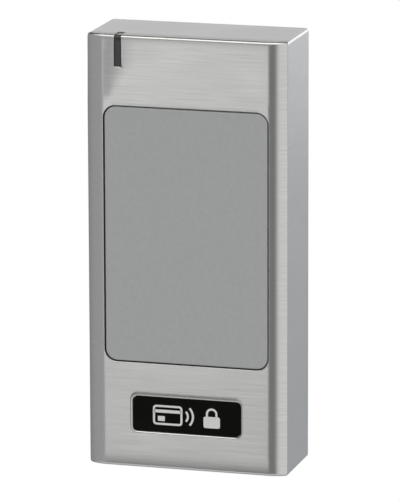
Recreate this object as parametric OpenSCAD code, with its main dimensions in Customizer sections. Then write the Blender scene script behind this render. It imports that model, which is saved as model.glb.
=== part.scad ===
// Slim wall-mounted RFID card reader: a die-cast case that hangs on a steel wall plate.
// The front faces -Y, the wall is the plane y = 0, Z points up, X points right as seen from the front.
// The origin is the centre of the wall plate's back. Heights count from the case's bottom edge,
// and depths count from the front face towards the wall.

/* [Case] */
// Height of the case
case_h = 103; // [98:1:130]
// Width of the case
case_w = 48.2; // [47:0.1:60]
// Depth from the wall to the front face
case_d = 21; // [20:0.5:28]
// Radius of the rounded vertical front edges
edge_r = 7.2; // [5:0.1:8]
// Width over which each vertical front edge rounds away
edge_reach = 4.5; // [3:0.1:4.8]
// Rounding of the top front edge
top_round = 0.6; // [0.4:0.1:1.2]
// Rounding of the bottom front edge
bottom_round = 0.9; // [0.4:0.1:1.2]
// Rounding of the four corners seen from the front
corner_round = 0.7; // [0.6:0.1:1.5]
// Rounding of the rear edges
rear_round = 0.4; // [0.3:0.1:1.2]
// Thickness of the front wall
front_wall = 2; // [1.6:0.1:2.6]
// Thickness of the walls beside the electronics
side_wall = 2.8; // [2.4:0.1:3]
// Thickness of the walls round the rear cover
rim_wall = 1.6; // [1.2:0.1:1.8]
// Gap between the case's rear edge and the wall
rear_gap = 0.5; // [0.3:0.1:0.8]

/* [Window] */
// Width of the window panel
window_w = 39.2; // [30:0.1:39.4]
// Height of the window panel
window_h = 60.5; // [48:0.1:61]
// Height of the window's centre above the case's bottom edge
window_z = 55.9; // [55.5:0.1:57]
// Corner radius of the window panel
window_r = 2.7; // [1:0.1:5]
// Groove between the window panel and the case
window_gap = 0.28; // [0.15:0.01:0.4]
// Depth of the panel's face below the case's face
window_recess = 0.08; // [0:0.01:0.3]
// Reach of the flange behind the front wall
window_flange = 1.3; // [0.9:0.1:1.4]
// Thickness of the flange
flange_t = 1; // [0.8:0.1:1.4]
// Thickness of the seal in front of the flange
seal_t = 0.4; // [0.3:0.1:0.6]

/* [Status light] */
// Width of the light pipe's face
lens_w = 1.6; // [1.2:0.1:3]
// Length of the light pipe down the front from the top edge
lens_h = 7.4; // [6:0.1:9]
// Reach of the light pipe onto the top face
lens_top = 4.2; // [2.4:0.1:5]
// Distance of the light pipe's centre line from the case's left side
lens_inset = 7.8; // [6.5:0.1:10]
// Gap between the light pipe and its slot
lens_gap = 0.05; // [0.03:0.01:0.1]
// Depth of the light pipe's face below the case's surface
lens_recess = 0.15; // [0.05:0.01:0.3]

/* [Name plate] */
// Width of the name plate
plate_w = 26.1; // [16:0.1:34]
// Height of the name plate
plate_h = 8.3; // [5:0.1:10]
// Height of the name plate's centre above the case's bottom edge
plate_z = 13.1; // [11:0.1:15]
// Corner radius of the name plate
plate_r = 1.1; // [0.5:0.1:2]
// Thickness of the name plate
plate_t = 0.45; // [0.3:0.05:0.6]
// Thickness of the adhesive tape behind it
tape_t = 0.1; // [0.05:0.01:0.2]
// Depth of the name plate's face below the case's face
plate_recess = 0.2; // [0:0.01:0.3]
// Gap round the name plate
plate_gap = 0.12; // [0.05:0.01:0.3]

/* [Electronics] */
// Thickness of the coil carrier
carrier_t = 2.8; // [2.4:0.1:4]
// Width of the wound ring
winding_w = 2.7; // [2:0.1:4]
// Thickness of each flange of the coil carrier
carrier_flange = 0.5; // [0.4:0.1:0.8]
// Thickness of the ferrite sheet
ferrite_t = 0.4; // [0.3:0.1:0.8]
// Gap between the ferrite sheet and the circuit board
board_gap = 1; // [0.8:0.1:1.6]
// Thickness of the circuit board
board_t = 1.2; // [1:0.1:1.6]
// Gap between the circuit board's edge and the case
board_clear = 0.4; // [0.2:0.1:1]
// Radius of the pillars where the circuit board rests on them
boss_r = 2.6; // [2.4:0.1:2.8]
// Radius of the pillars behind the circuit board
pillar_r = 1.9; // [1.7:0.1:2]
// Distance of the pillars from the window's flange
boss_off = 3.9; // [3.7:0.1:4]

/* [Rear cover] */
// Thickness of the rear cover
cover_t = 1.6; // [1.4:0.1:2]
// Thickness of the cover gasket
gasket_t = 0.6; // [0.4:0.1:1]
// Gap between the rear cover's edge and the case
cover_gap = 0.2; // [0.1:0.05:0.3]
// Space between the rear cover and the wall
plate_room = 5.4; // [5.2:0.1:8]
// Radius of the small screws
small_screw_r = 1; // [0.8:0.1:1]
// Radius of the small screws' heads
small_head_r = 1.9; // [1.6:0.1:2]
// Height of the small screws' heads
small_head_h = 1.2; // [1:0.1:1.4]
// Radial gap round the small screws in their tapped holes
thread_gap = 0.04; // [0.02:0.01:0.08]
// Radius of the cable bore in the grommet
cable_r = 2.6; // [2:0.1:3]
// Radius of the grommet where it passes through the cover
grommet_r = 4; // [3.8:0.1:4.6]
// Height of the cable bore above the case's centre
cable_rise = 14.5; // [13:0.5:16]

/* [Wall plate] */
// Thickness of the wall plate's steel
steel_t = 1.5; // [1.2:0.1:1.6]
// Side gap between the wall plate and the case's inner walls
steel_clear = 1.6; // [1:0.1:3]
// Half width of the wall screw slots
slot_r = 2.1; // [1.8:0.1:2.6]
// End-to-end length of the wall screw slots
slot_len = 7; // [6:0.5:9]
// Distance between the wall screw slots
slot_spacing = 60; // [50:1:60]
// Radius of the cable hole in the wall plate
cable_hole_r = 8; // [7:0.5:9]
// Width of each hook
hook_w = 8; // [5:0.5:10]
// Distance of each hook's centre from the middle
hook_x = 12; // [9:0.5:14]
// Thickness of the case's hanging rib
rib_t = 1.8; // [1.4:0.1:2]
// Distance of the hanging rib's axis from the wall
rib_y = 2; // [1.8:0.1:2.2]
// Distance of the hanging rib's axis below the case's top
rib_drop = 3.2; // [3:0.1:3.6]
// Gap between the hanging rib and the hooks
rib_gap = 0.05; // [0.03:0.01:0.1]

/* [Security screw] */
// Radius of the security screw's shank
lock_r = 1.5; // [1.25:0.05:1.8]
// Radius of the security screw's head
lock_head_r = 2.75; // [2.5:0.05:3.2]
// Height of the security screw's head
lock_head_h = 1.9; // [1.6:0.1:2.4]
// How far the security screw travels from backed off to driven
lock_travel = 3; // [2.5:0.1:3.5]
// Distance of the security screw's axis from the wall
lock_y = 7; // [6.5:0.1:8]
// Thickness of the case's web under the screw's head
lock_web = 1.2; // [1:0.1:1.6]
// Thickness of the nylon retainer
retainer_t = 0.8; // [0.6:0.1:1.2]
// Radius of the nylon retainer
retainer_r = 2.9; // [2.6:0.1:3.4]
// Radial running gap round the security screw
lock_gap = 0.05; // [0.02:0.01:0.1]

/* [Tamper switch] */
// How far the tamper plunger springs out
tamper_travel = 1.2; // [0.8:0.1:1.6]
// Radius of the tamper plunger
plunger_r = 1.5; // [1.2:0.1:1.8]
// Radial gap between the plunger and its guide
plunger_gap = 0.08; // [0.04:0.01:0.1]
// Distance of the plunger to the right of the middle
plunger_x = 12; // [11:0.5:13]
// Distance of the plunger below the window's centre
plunger_drop = 22; // [20:0.5:23]

/* [Hidden] */
$fn = 48;

touch = 0.01; // overlap that makes a cut pass cleanly through a face
mid = case_h / 2; // height of the origin above the case's bottom edge

// case
edge_drop = edge_r - sqrt(edge_r * edge_r - edge_reach * edge_reach); // depth of the side crease
body_d = case_d - rear_gap; // depth of the case itself
room_x = case_w / 2 - side_wall; // half width of the electronics room
room_top = case_h - side_wall;
room_r = 1; // corner radius of the electronics room
rim_x = case_w / 2 - rim_wall; // half width of the rear pocket
rim_top = case_h - rim_wall;
rim_r = 1.4; // corner radius of the rear pocket
lock_room_z = 2; // floor of the lock pocket above the case's bottom edge

// window and light pipe
lens_x = -case_w / 2 + lens_inset;
flange_d = front_wall + seal_t; // front of the window's flange
carrier_d = flange_d + flange_t;
flange_w = window_w + 2 * window_flange;
flange_h = window_h + 2 * window_flange;
hidden_inset = 0.12; // how far the seal stays back from the groove

// coil and board
coil_w = window_w - 0.8; // outer size of the winding
coil_h = window_h - 2.3;
coil_corner = 3.4;
carrier_lip = 0.3; // how far the carrier's flanges stand out over the winding
core_t = 1.5; // thickness of the carrier's core ring
ferrite_d = carrier_d + carrier_t;
ferrite_in = 2.8; // how far the ferrite sheet stays inside the winding's outline
board_d = ferrite_d + ferrite_t + board_gap;
board_rear = board_d + board_t;
pin_r = 0.3; // coil pins
pin_x = 5;
pin_z = window_z - coil_h / 2 + 1.3;
parts_z = window_z - 4.5; // middle of the parts on the board's rear
can_z = pin_z + 4.4; // the capacitors stand just above the coil pins

// rear cover
cover_d = case_d - plate_room - cover_t; // front of the rear cover
cover_rear = cover_d + cover_t;
ledge_d = cover_d - gasket_t; // depth of the ledge that carries the gasket
boss_x = room_x - 3.6;
boss_low = window_z - window_h / 2 - window_flange - boss_off;
boss_high = window_z + window_h / 2 + window_flange + boss_off;
cover_screw_len = 5.6; // below the head
board_screw_len = 4.8;
cable_z = mid + cable_rise;
grommet_grip = 1; // how far the grommet's flanges stand out past its stem
grommet_in = 1; // thickness of the inner flange
grommet_out = 1.2; // thickness of the outer flange
grommet_nose = 1.7; // length of the nose behind the outer flange

// security screw, from the bottom up, at rest
lock_head_z = 0.2; // the head's face inside its counterbore
counterbore_gap = 0.25;
lock_seat_z = lock_head_z + lock_head_h + lock_travel;
lock_boss_top = lock_seat_z + lock_web;
lock_boss_wall = 1.6;
retainer_z = lock_boss_top + 0.1;
tab_z = retainer_z + retainer_t + lock_travel + 0.4; // underside of the wall plate's tab
tab_x = 6; // half width of the tab
tab_reach = lock_y + 4; // how far the tab stands out from the wall
lock_tip_z = tab_z - 0.6;
partition_z = lock_tip_z + lock_travel + 1; // underside of the floor below the electronics
partition_t = 1.5;

// hooks and hanging rib
rib_z = case_h - rib_drop;
hook_top = rib_z - rib_t / 2 - rib_gap; // top of each hook's shelf
lip_gap = 0.15;
lip_y = rib_y + rib_t / 2 + lip_gap; // rear face of each hook's lip, counted from the wall
lip_rise = 0.8; // how far the lip stands above the rib's axis

// tamper switch
plunger_z = window_z - plunger_drop;
plunger_flange_t = 0.8;
plunger_flange_r = 4;
plunger_flange_d = cover_d - tamper_travel - plunger_flange_t;
guide_len = 2.7; // of the guide tube behind the rear cover
guide_wall = 1.3;
tamper_hole_gap = 0.7; // round the plunger in the wall plate
switch_w = 4.2;
switch_h = 2.2;
spring_wire = 0.25; // radius of the spring's wire
spring_r = 3.4; // mean radius of the spring
spring_turns = 3.5;
spring_steps = 16; // rings per turn
spring_sides = 8;

// ---- helpers -------------------------------------------------------------------------------

// Extrudes an outline drawn as (x, height above the case's bottom) from depth d0 to depth d1.
module slab(d0, d1) {
    translate([0, d1 - case_d, -mid]) rotate([90, 0, 0]) linear_extrude(d1 - d0) children();
}

// Turns a profile drawn as (radius, distance towards the wall) round an axis along Y.
module turned(x, z, d) {
    translate([x, d - case_d, z - mid]) rotate([-90, 0, 0]) rotate_extrude() children();
}

// A rod along Y.
module rod(x, z, d0, d1, r) {
    slab(d0, d1) translate([x, z]) circle(r);
}

// A rod along Z at the security screw's axis.
module lock_rod(z0, z1, r) {
    translate([0, -lock_y, z0 - mid]) cylinder(h = z1 - z0, r = r);
}

// A rectangle with its own radius at each corner: bottom left, bottom right, top right, top left.
module soft_rect(x0, y0, x1, y1, r) {
    polygon([
        [x0 + r[0], y0], [x1 - r[1], y0], [x1, y0 + r[1]], [x1, y1 - r[2]],
        [x1 - r[2], y1], [x0 + r[3], y1], [x0, y1 - r[3]], [x0, y0 + r[0]],
    ]);
    translate([x0 + r[0], y0 + r[0]]) circle(r[0]);
    translate([x1 - r[1], y0 + r[1]]) circle(r[1]);
    translate([x1 - r[2], y1 - r[2]]) circle(r[2]);
    translate([x0 + r[3], y1 - r[3]]) circle(r[3]);
}

// A centred rectangle with equal corner radii.
module rounded(w, h, r) {
    soft_rect(-w / 2, -h / 2, w / 2, h / 2, [r, r, r, r]);
}

// A centred box of the given width and height.
module box_at(x, z, w, h, d0, d1) {
    slab(d0, d1) translate([x, z]) square([w, h], center = true);
}

// A chip with leads on its left and right sides, and above and below it when all_round is true.
module leaded_chip(x, z, w, h, t, leads, pitch, all_round) {
    lead_w = pitch * 0.45;
    lead_len = 0.9;
    lead_in = 0.3; // how far each lead runs into the body
    lead_rear = board_rear + 0.4;
    reach = (lead_len - lead_in) / 2;
    box_at(x, z, w, h, board_rear + 0.1, board_rear + 0.1 + t);
    for (i = [0 : leads - 1], side = [-1, 1]) {
        along = (i - (leads - 1) / 2) * pitch;
        box_at(x + side * (w / 2 + reach), z + along, lead_len + lead_in, lead_w, board_rear, lead_rear);
        if (all_round)
            box_at(x + along, z + side * (h / 2 + reach), lead_w, lead_len + lead_in, board_rear, lead_rear);
    }
}

// A pan-head screw with a crossed recess, driven from the rear.
module small_screw(x, z, seat, len) {
    recess = 0.7;
    difference() {
        union() {
            rod(x, z, seat, seat + small_head_h, small_head_r);
            rod(x, z, seat - len, seat + touch, small_screw_r);
        }
        for (a = [0, 90])
            slab(seat + small_head_h - recess, seat + small_head_h + touch)
                translate([x, z]) rotate(a) square([2.2, 0.45], center = true);
    }
}

// ---- case ----------------------------------------------------------------------------------

// Plan of the case, drawn as (x, depth): a flat front with rounded edges that end in a crease.
module case_plan() {
    half = case_w / 2;
    centre = half - edge_reach;
    intersection() {
        translate([-half, 0]) square([case_w, edge_r]);
        union() {
            for (side = [-1, 1]) translate([side * centre, edge_r]) circle(edge_r);
            translate([-centre, 0]) square([2 * centre, edge_r]);
        }
    }
    soft_rect(-half, edge_drop, half, body_d, [touch, touch, rear_round, rear_round]);
}

// Solid outer shape of the case.
module case_shape() {
    r = corner_round;
    intersection() {
        translate([0, -case_d, -mid]) linear_extrude(case_h) case_plan();
        slab(-1, body_d + 1) soft_rect(-case_w / 2, 0, case_w / 2, case_h, [r, r, r, r]);
        translate([-case_w / 2 - 1, 0, -mid]) rotate([90, 0, 90]) linear_extrude(case_w + 2)
            soft_rect(-case_d, 0, -rear_gap, case_h, [bottom_round, rear_round, rear_round, top_round]);
    }
}

// Room for the electronics, the rear cover's pocket and the lock pocket.
module case_rooms() {
    slab(front_wall, body_d + 1)
        soft_rect(-room_x, partition_z + partition_t, room_x, room_top, [room_r, room_r, room_r, room_r]);
    slab(ledge_d, body_d + 1)
        soft_rect(-rim_x, partition_z, rim_x, rim_top, [touch, touch, rim_r, rim_r]);
    slab(front_wall, body_d + 1)
        soft_rect(-rim_x, lock_room_z, rim_x, partition_z, [rim_r, rim_r, touch, touch]);
}

// Pillars for the board and the cover, the board's own bosses, the lock boss and the hanging rib.
module case_bosses() {
    for (x = [-boss_x, boss_x], z = [boss_low, boss_high]) {
        rod(x, z, front_wall - touch, board_d, boss_r);
        rod(x, z, board_d - touch, cover_d, pillar_r);
    }
    for (z = [boss_low, boss_high]) rod(0, z, front_wall - touch, board_d, boss_r - 0.2);
    lock_rod(lock_room_z - touch, lock_boss_top, lock_head_r + counterbore_gap + lock_boss_wall);
    translate([-rim_x - touch, -rib_y - rib_t / 2, rib_z - mid])
        cube([2 * rim_x + 2 * touch, rib_t, rib_drop - rim_wall + touch]);
    translate([-rim_x - touch, -rib_y, rib_z - mid]) rotate([0, 90, 0])
        cylinder(h = 2 * rim_x + 2 * touch, r = rib_t / 2);
}

module front_case() {
    color("#b9bab8") difference() {
        union() {
            difference() {
                case_shape();
                case_rooms();
            }
            case_bosses();
        }
        slab(-1, front_wall + touch) translate([0, window_z])
            rounded(window_w + 2 * window_gap, window_h + 2 * window_gap, window_r + window_gap);
        slab(-1, plate_recess + plate_t + tape_t) translate([0, plate_z])
            rounded(plate_w + 2 * plate_gap, plate_h + 2 * plate_gap, plate_r + plate_gap);
        slab(-1, lens_top) translate([lens_x - lens_w / 2 - lens_gap, case_h - lens_h - lens_gap])
            square([lens_w + 2 * lens_gap, lens_h + 1]);
        for (x = [-boss_x, boss_x], z = [boss_low, boss_high])
            rod(x, z, cover_d - cover_screw_len, cover_d + 1, small_screw_r + thread_gap);
        for (z = [boss_low, boss_high])
            rod(0, z, board_rear - board_screw_len - 0.4, board_d + 1, small_screw_r + thread_gap);
        lock_rod(-1, lock_seat_z, lock_head_r + counterbore_gap);
        lock_rod(0, lock_boss_top + 1, lock_r + 2 * lock_gap);
    }
}

// ---- window, light pipe and name plate -------------------------------------------------------

module window_panel() {
    color("#999a99") {
        slab(window_recess, flange_d + touch) translate([0, window_z]) rounded(window_w, window_h, window_r);
        slab(flange_d, carrier_d) translate([0, window_z])
            rounded(flange_w, flange_h, window_r + window_flange);
    }
}

module window_seal() {
    in_w = window_w + 2 * (window_gap + hidden_inset);
    in_h = window_h + 2 * (window_gap + hidden_inset);
    color("#30302f") slab(front_wall, flange_d) translate([0, window_z]) difference() {
        rounded(flange_w, flange_h, window_r + window_flange);
        rounded(in_w, in_h, window_r + window_gap + hidden_inset);
    }
}

// The light pipe's face follows the slot over the top edge; its tail leads to the LEDs on the board.
module status_lens() {
    x = lens_x;
    low = case_h - lens_h;
    tail_w = 3.2;
    color("#3a3a3c") {
        slab(lens_recess, lens_top - lens_gap) translate([x - lens_w / 2, low])
            square([lens_w, lens_h - lens_recess]);
        slab(front_wall, lens_top) translate([x - 2.2, low - 1.2])
            square([4.4, room_top - low + 1.1]);
        slab(lens_top - touch, board_d - 0.8) translate([x - tail_w / 2, low - 0.6])
            square([tail_w, room_top - low]);
    }
}

module name_plate() {
    color("#1c1c1d") slab(plate_recess, plate_recess + plate_t) translate([0, plate_z])
        rounded(plate_w, plate_h, plate_r);
}

module name_plate_tape() {
    edge = 0.3;
    color("#d9d7cf") slab(plate_recess + plate_t, plate_recess + plate_t + tape_t) translate([0, plate_z])
        rounded(plate_w - 2 * edge, plate_h - 2 * edge, plate_r - edge);
}

// ---- antenna ---------------------------------------------------------------------------------

module coil_carrier() {
    core_w = coil_w - 2 * winding_w;
    core_h = coil_h - 2 * winding_w;
    lip_w = coil_w + 2 * carrier_lip;
    lip_h = coil_h + 2 * carrier_lip;
    color("#e3e0d6") difference() {
        union() {
            slab(carrier_d, ferrite_d) translate([0, window_z]) rounded(core_w, core_h, 2);
            for (d = [carrier_d, ferrite_d - carrier_flange])
                slab(d, d + carrier_flange) translate([0, window_z])
                    rounded(lip_w, lip_h, coil_corner + carrier_lip);
        }
        slab(carrier_d - 1, ferrite_d + 1) translate([0, window_z])
            rounded(core_w - 2 * core_t, core_h - 2 * core_t, 1);
    }
}

module antenna_coil() {
    color("#b5652e") slab(carrier_d + carrier_flange, ferrite_d - carrier_flange)
        translate([0, window_z]) difference() {
            rounded(coil_w, coil_h, coil_corner);
            rounded(coil_w - 2 * winding_w, coil_h - 2 * winding_w, 2);
        }
}

// Two pins that carry the coil's ends from the carrier to the board.
module coil_pins() {
    color("#c9c3b4") for (x = [-pin_x, pin_x]) rod(x, pin_z, ferrite_d, board_rear + 0.7, pin_r);
}

module ferrite_sheet() {
    color("#3b3d40") slab(ferrite_d, ferrite_d + ferrite_t) translate([0, window_z])
        rounded(coil_w - 2 * ferrite_in, coil_h - 2 * ferrite_in, 1);
}

// ---- circuit board and what is on it ---------------------------------------------------------

module circuit_board() {
    x = room_x - board_clear;
    hole = 0.15; // gap round what passes through the board
    color("#1f5b3a") slab(board_d, board_rear) difference() {
        soft_rect(-x, partition_z + partition_t + board_clear, x, room_top - board_clear, [1, 1, 1, 1]);
        for (px = [-boss_x, boss_x], pz = [boss_low, boss_high])
            translate([px, pz]) circle(pillar_r + hole);
        for (pz = [boss_low, boss_high]) translate([0, pz]) circle(small_screw_r + hole);
        for (px = [-pin_x, pin_x]) translate([px, pin_z]) circle(pin_r + 0.1);
    }
}

module microcontroller() {
    color("#26272a") leaded_chip(-11, parts_z + 29, 7, 7, 1.2, 8, 0.8, true);
}

module reader_chip() {
    color("#2a2b2e") leaded_chip(9, parts_z + 30, 6, 10, 1.4, 8, 1.2, false);
}

module crystal() {
    color("#c8c9c6") slab(board_rear, board_rear + 3.2) translate([-13, parts_z + 18])
        rounded(4.4, 10.6, 2.19);
}

module voltage_regulator() {
    color("#28292c") {
        box_at(13, parts_z + 17, 6.4, 3.6, board_rear + 0.1, board_rear + 1.7);
        box_at(13, parts_z + 19, 3, 2.6, board_rear, board_rear + 0.5);
        for (x = [-2.3, 0, 2.3]) box_at(13 + x, parts_z + 15, 0.7, 2.6, board_rear, board_rear + 0.5);
    }
}

// Two aluminium cans, each on a moulded base.
module electrolytic_capacitors() {
    can_h = 4.2;
    for (x = [-3.6, 3.6]) {
        color("#27282b") box_at(x, can_z, 5.6, 5.6, board_rear, board_rear + 0.7);
        color("#c7c8ca") turned(x, can_z, board_rear + 0.7 - touch)
            polygon([[0, 0], [2.5, 0], [2.5, 0.8], [2.35, 1], [2.35, 1.3], [2.5, 1.5],
                [2.5, can_h - 1], [2.2, can_h - 0.7], [0, can_h - 0.7]]);
    }
}

// Chip resistors and capacitors in two rows between the chips and along the board's foot.
module chip_passives() {
    places = concat(
        [for (i = [0 : 5]) [-2.2 + (i % 2) * 3.2, parts_z + 24 + floor(i / 2) * 3]],
        [for (i = [0 : 7]) [-9.8 + i * 2.8, parts_z - 9.5]]
    );
    color("#8d8577") for (p = places) box_at(p[0], p[1], 0.9, 1.7, board_rear, board_rear + 0.5);
}

module protection_diodes() {
    color("#232427") for (i = [0 : 3]) {
        x = -9 + i * 6;
        box_at(x, parts_z - 6, 2.6, 1.6, board_rear + 0.05, board_rear + 1.2);
        box_at(x, parts_z - 6, 3.8, 0.8, board_rear, board_rear + 0.3);
    }
}

module buzzer() {
    r = 4.5;
    h = 4.2;
    color("#1d1e20") turned(-12.5, parts_z - 18, board_rear)
        polygon([[0, 0], [r, 0], [r, h - 0.4], [r - 0.4, h], [1, h], [1, h - 1], [0, h - 1]]);
}

// Three small LEDs in a column facing the light pipe's tail.
module indicator_leds() {
    colors = ["#d9443a", "#49c267", "#e8c24a"];
    for (i = [0 : 2]) color(colors[i])
        box_at(lens_x, room_top - 1.4 - i * 1.6, 1.6, 0.8, board_d - 0.6, board_d);
}

// A shrouded header with eight pins for the reader's cable.
module cable_header() {
    w = 18;
    h = 5;
    t = 4.2;
    wall = 0.7;
    z = parts_z + 1;
    color("#e8e4d8") difference() {
        box_at(0, z, w, h, board_rear, board_rear + t);
        box_at(0, z, w - 2 * wall, h - 2 * wall, board_rear + 1, board_rear + t + 1);
    }
    color("#c9a94f") for (i = [0 : 7])
        box_at((i - 3.5) * 2, z, 0.5, 0.5, board_rear + 0.5, board_rear + t - 0.4);
}

// ---- tamper switch ---------------------------------------------------------------------------

module tamper_switch() {
    color("#303135") {
        box_at(plunger_x, plunger_z, switch_w, switch_w, board_rear, board_rear + switch_h);
        rod(plunger_x, plunger_z, board_rear + switch_h - touch, plunger_flange_d - 0.05, 1);
    }
}

function spring_angle(i) = i * 360 / spring_steps;
function spring_ring(i, a, b) =
    let (
        t = i / (spring_turns * spring_steps),
        turn = spring_angle(i),
        depth = a + (b - a) * t
    )
    [for (j = [0 : spring_sides - 1])
        let (
            w = j * 360 / spring_sides,
            r = spring_r + spring_wire * cos(w)
        )
        [plunger_x + r * cos(turn), depth - case_d + spring_wire * sin(w), plunger_z - mid + r * sin(turn)]];

// A wire helix between the board and the plunger's flange, round the switch.
module tamper_spring() {
    rings = spring_turns * spring_steps;
    n = spring_sides;
    a = board_rear + spring_wire;
    b = plunger_flange_d - spring_wire;
    color("#b7b9bb") polyhedron(
        points = [for (i = [0 : rings]) for (p = spring_ring(i, a, b)) p],
        faces = concat(
            [[for (j = [0 : n - 1]) j]],
            [for (i = [0 : rings - 1]) for (j = [0 : n - 1])
                [i * n + j, (i + 1) * n + j, (i + 1) * n + (j + 1) % n, i * n + (j + 1) % n]],
            [[for (j = [n - 1 : -1 : 0]) rings * n + j]]
        )
    );
}

// At rest the wall holds the plunger in, so its tip is level with the wall plate's back.
module tamper_plunger() {
    reach = case_d - plunger_flange_d;
    tip = 0.4;
    color("#d8d5cb") turned(plunger_x, plunger_z, plunger_flange_d)
        polygon([[0, 0], [plunger_flange_r, 0], [plunger_flange_r, plunger_flange_t],
            [plunger_r, plunger_flange_t], [plunger_r, reach - tip], [plunger_r - tip, reach], [0, reach]]);
}

// ---- rear cover ------------------------------------------------------------------------------

module cover_outline() {
    r = rim_r - cover_gap;
    x = rim_x - cover_gap;
    soft_rect(-x, partition_z + cover_gap, x, rim_top - cover_gap, [r, r, r, r]);
}

module rear_cover() {
    guide_r = plunger_r + plunger_gap;
    color("#2b2c2e") difference() {
        union() {
            slab(cover_d, cover_rear) cover_outline();
            rod(plunger_x, plunger_z, cover_rear - touch, cover_rear + guide_len, guide_r + guide_wall);
        }
        rod(plunger_x, plunger_z, cover_d - 1, cover_rear + guide_len + 1, guide_r);
        rod(0, cable_z, cover_d - 1, cover_rear + 1, grommet_r + 0.02);
        for (x = [-boss_x, boss_x], z = [boss_low, boss_high])
            rod(x, z, cover_d - 1, cover_rear + 1, small_screw_r + 0.2);
    }
}

module cover_gasket() {
    r = room_r;
    color("#3a3a3a") slab(ledge_d, cover_d) difference() {
        cover_outline();
        soft_rect(-room_x, partition_z + partition_t, room_x, room_top, [r, r, r, r]);
    }
}

module cover_screws() {
    color("#a9abad") for (x = [-boss_x, boss_x], z = [boss_low, boss_high])
        small_screw(x, z, cover_rear, cover_screw_len);
}

module board_screws() {
    color("#a9abad") for (z = [boss_low, boss_high]) small_screw(0, z, board_rear, board_screw_len);
}

module cable_grommet() {
    wide = grommet_r + grommet_grip;
    stem = grommet_in + cover_t;
    out = stem + grommet_out;
    nose = out + grommet_nose;
    color("#232323") turned(0, cable_z, cover_d - grommet_in)
        polygon([[cable_r, 0], [wide, 0], [wide, grommet_in], [grommet_r, grommet_in], [grommet_r, stem],
            [wide, stem], [wide, out], [grommet_r + 0.3, out], [cable_r + 0.9, nose], [cable_r, nose]]);
}

// ---- wall plate ------------------------------------------------------------------------------

module wall_plate() {
    half = rim_x - steel_clear;
    r = 2;
    color("#c2c4c5") difference() {
        union() {
            slab(case_d - steel_t, case_d)
                soft_rect(-half, tab_z, half, hook_top - steel_t - 0.8, [r, r, r, r]);
            for (side = [-1, 1]) hook(side * hook_x);
            translate([-tab_x, -tab_reach, tab_z - mid]) cube([2 * tab_x, tab_reach, steel_t]);
        }
        for (z = [-slot_spacing / 2, slot_spacing / 2]) slab(case_d - steel_t - 1, case_d + 1)
            translate([0, mid + z]) rounded(2 * slot_r, slot_len, slot_r - touch / 10);
        rod(0, cable_z, case_d - steel_t - 1, case_d + 1, cable_hole_r);
        rod(plunger_x, plunger_z, case_d - steel_t - 1, case_d + 1, plunger_r + tamper_hole_gap);
        lock_rod(tab_z - 1, tab_z + steel_t + 1, lock_r + lock_gap);
    }
}

// A hook: a strip up from the plate, a shelf that carries the rib, and a lip in front of it.
module hook(x) {
    shelf = hook_top - steel_t; // underside of the shelf
    root = 3; // how far the strip reaches down into the plate
    translate([x - hook_w / 2, 0, -mid]) {
        translate([0, -steel_t, shelf - root]) cube([hook_w, steel_t, root + steel_t]);
        translate([0, -lip_y - steel_t, shelf]) cube([hook_w, lip_y + steel_t, steel_t]);
        translate([0, -lip_y - steel_t, shelf]) cube([hook_w, steel_t, rib_z + lip_rise - shelf]);
    }
}

// ---- security screw --------------------------------------------------------------------------

// A nylon washer that keeps the security screw in the case.
module screw_retainer() {
    color("#e6e3da") difference() {
        lock_rod(retainer_z, retainer_z + retainer_t, retainer_r);
        lock_rod(retainer_z - 1, retainer_z + retainer_t + 1, lock_r + lock_gap);
    }
}

// A socket with six lobes round a centre pin.
module lobed_socket(depth) {
    translate([0, -lock_y, lock_head_z - mid - touch]) linear_extrude(depth + touch) difference() {
        circle(1.4);
        for (a = [0 : 60 : 300]) rotate(a) translate([1.55, 0]) circle(0.42);
        circle(0.4);
    }
}

module lock_screw() {
    chamfer = 0.4;
    color("#a3a5a6") difference() {
        union() {
            lock_rod(lock_head_z, lock_head_z + lock_head_h, lock_head_r);
            lock_rod(lock_head_z + lock_head_h - touch, lock_tip_z - chamfer, lock_r);
            translate([0, -lock_y, lock_tip_z - chamfer - touch - mid])
                cylinder(h = chamfer + touch, r1 = lock_r, r2 = lock_r - chamfer);
        }
        lobed_socket(1.2);
    }
}

wall_plate();
front_case();
window_panel();
window_seal();
status_lens();
name_plate();
name_plate_tape();
coil_carrier();
antenna_coil();
coil_pins();
ferrite_sheet();
circuit_board();
microcontroller();
reader_chip();
crystal();
voltage_regulator();
electrolytic_capacitors();
chip_passives();
protection_diodes();
buzzer();
indicator_leds();
cable_header();
tamper_switch();
tamper_spring();
tamper_plunger();
board_screws();
rear_cover();
cover_gasket();
cover_screws();
cable_grommet();
screw_retainer();
lock_screw();
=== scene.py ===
import math

import bmesh
import bpy
from mathutils import Matrix, Vector


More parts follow.
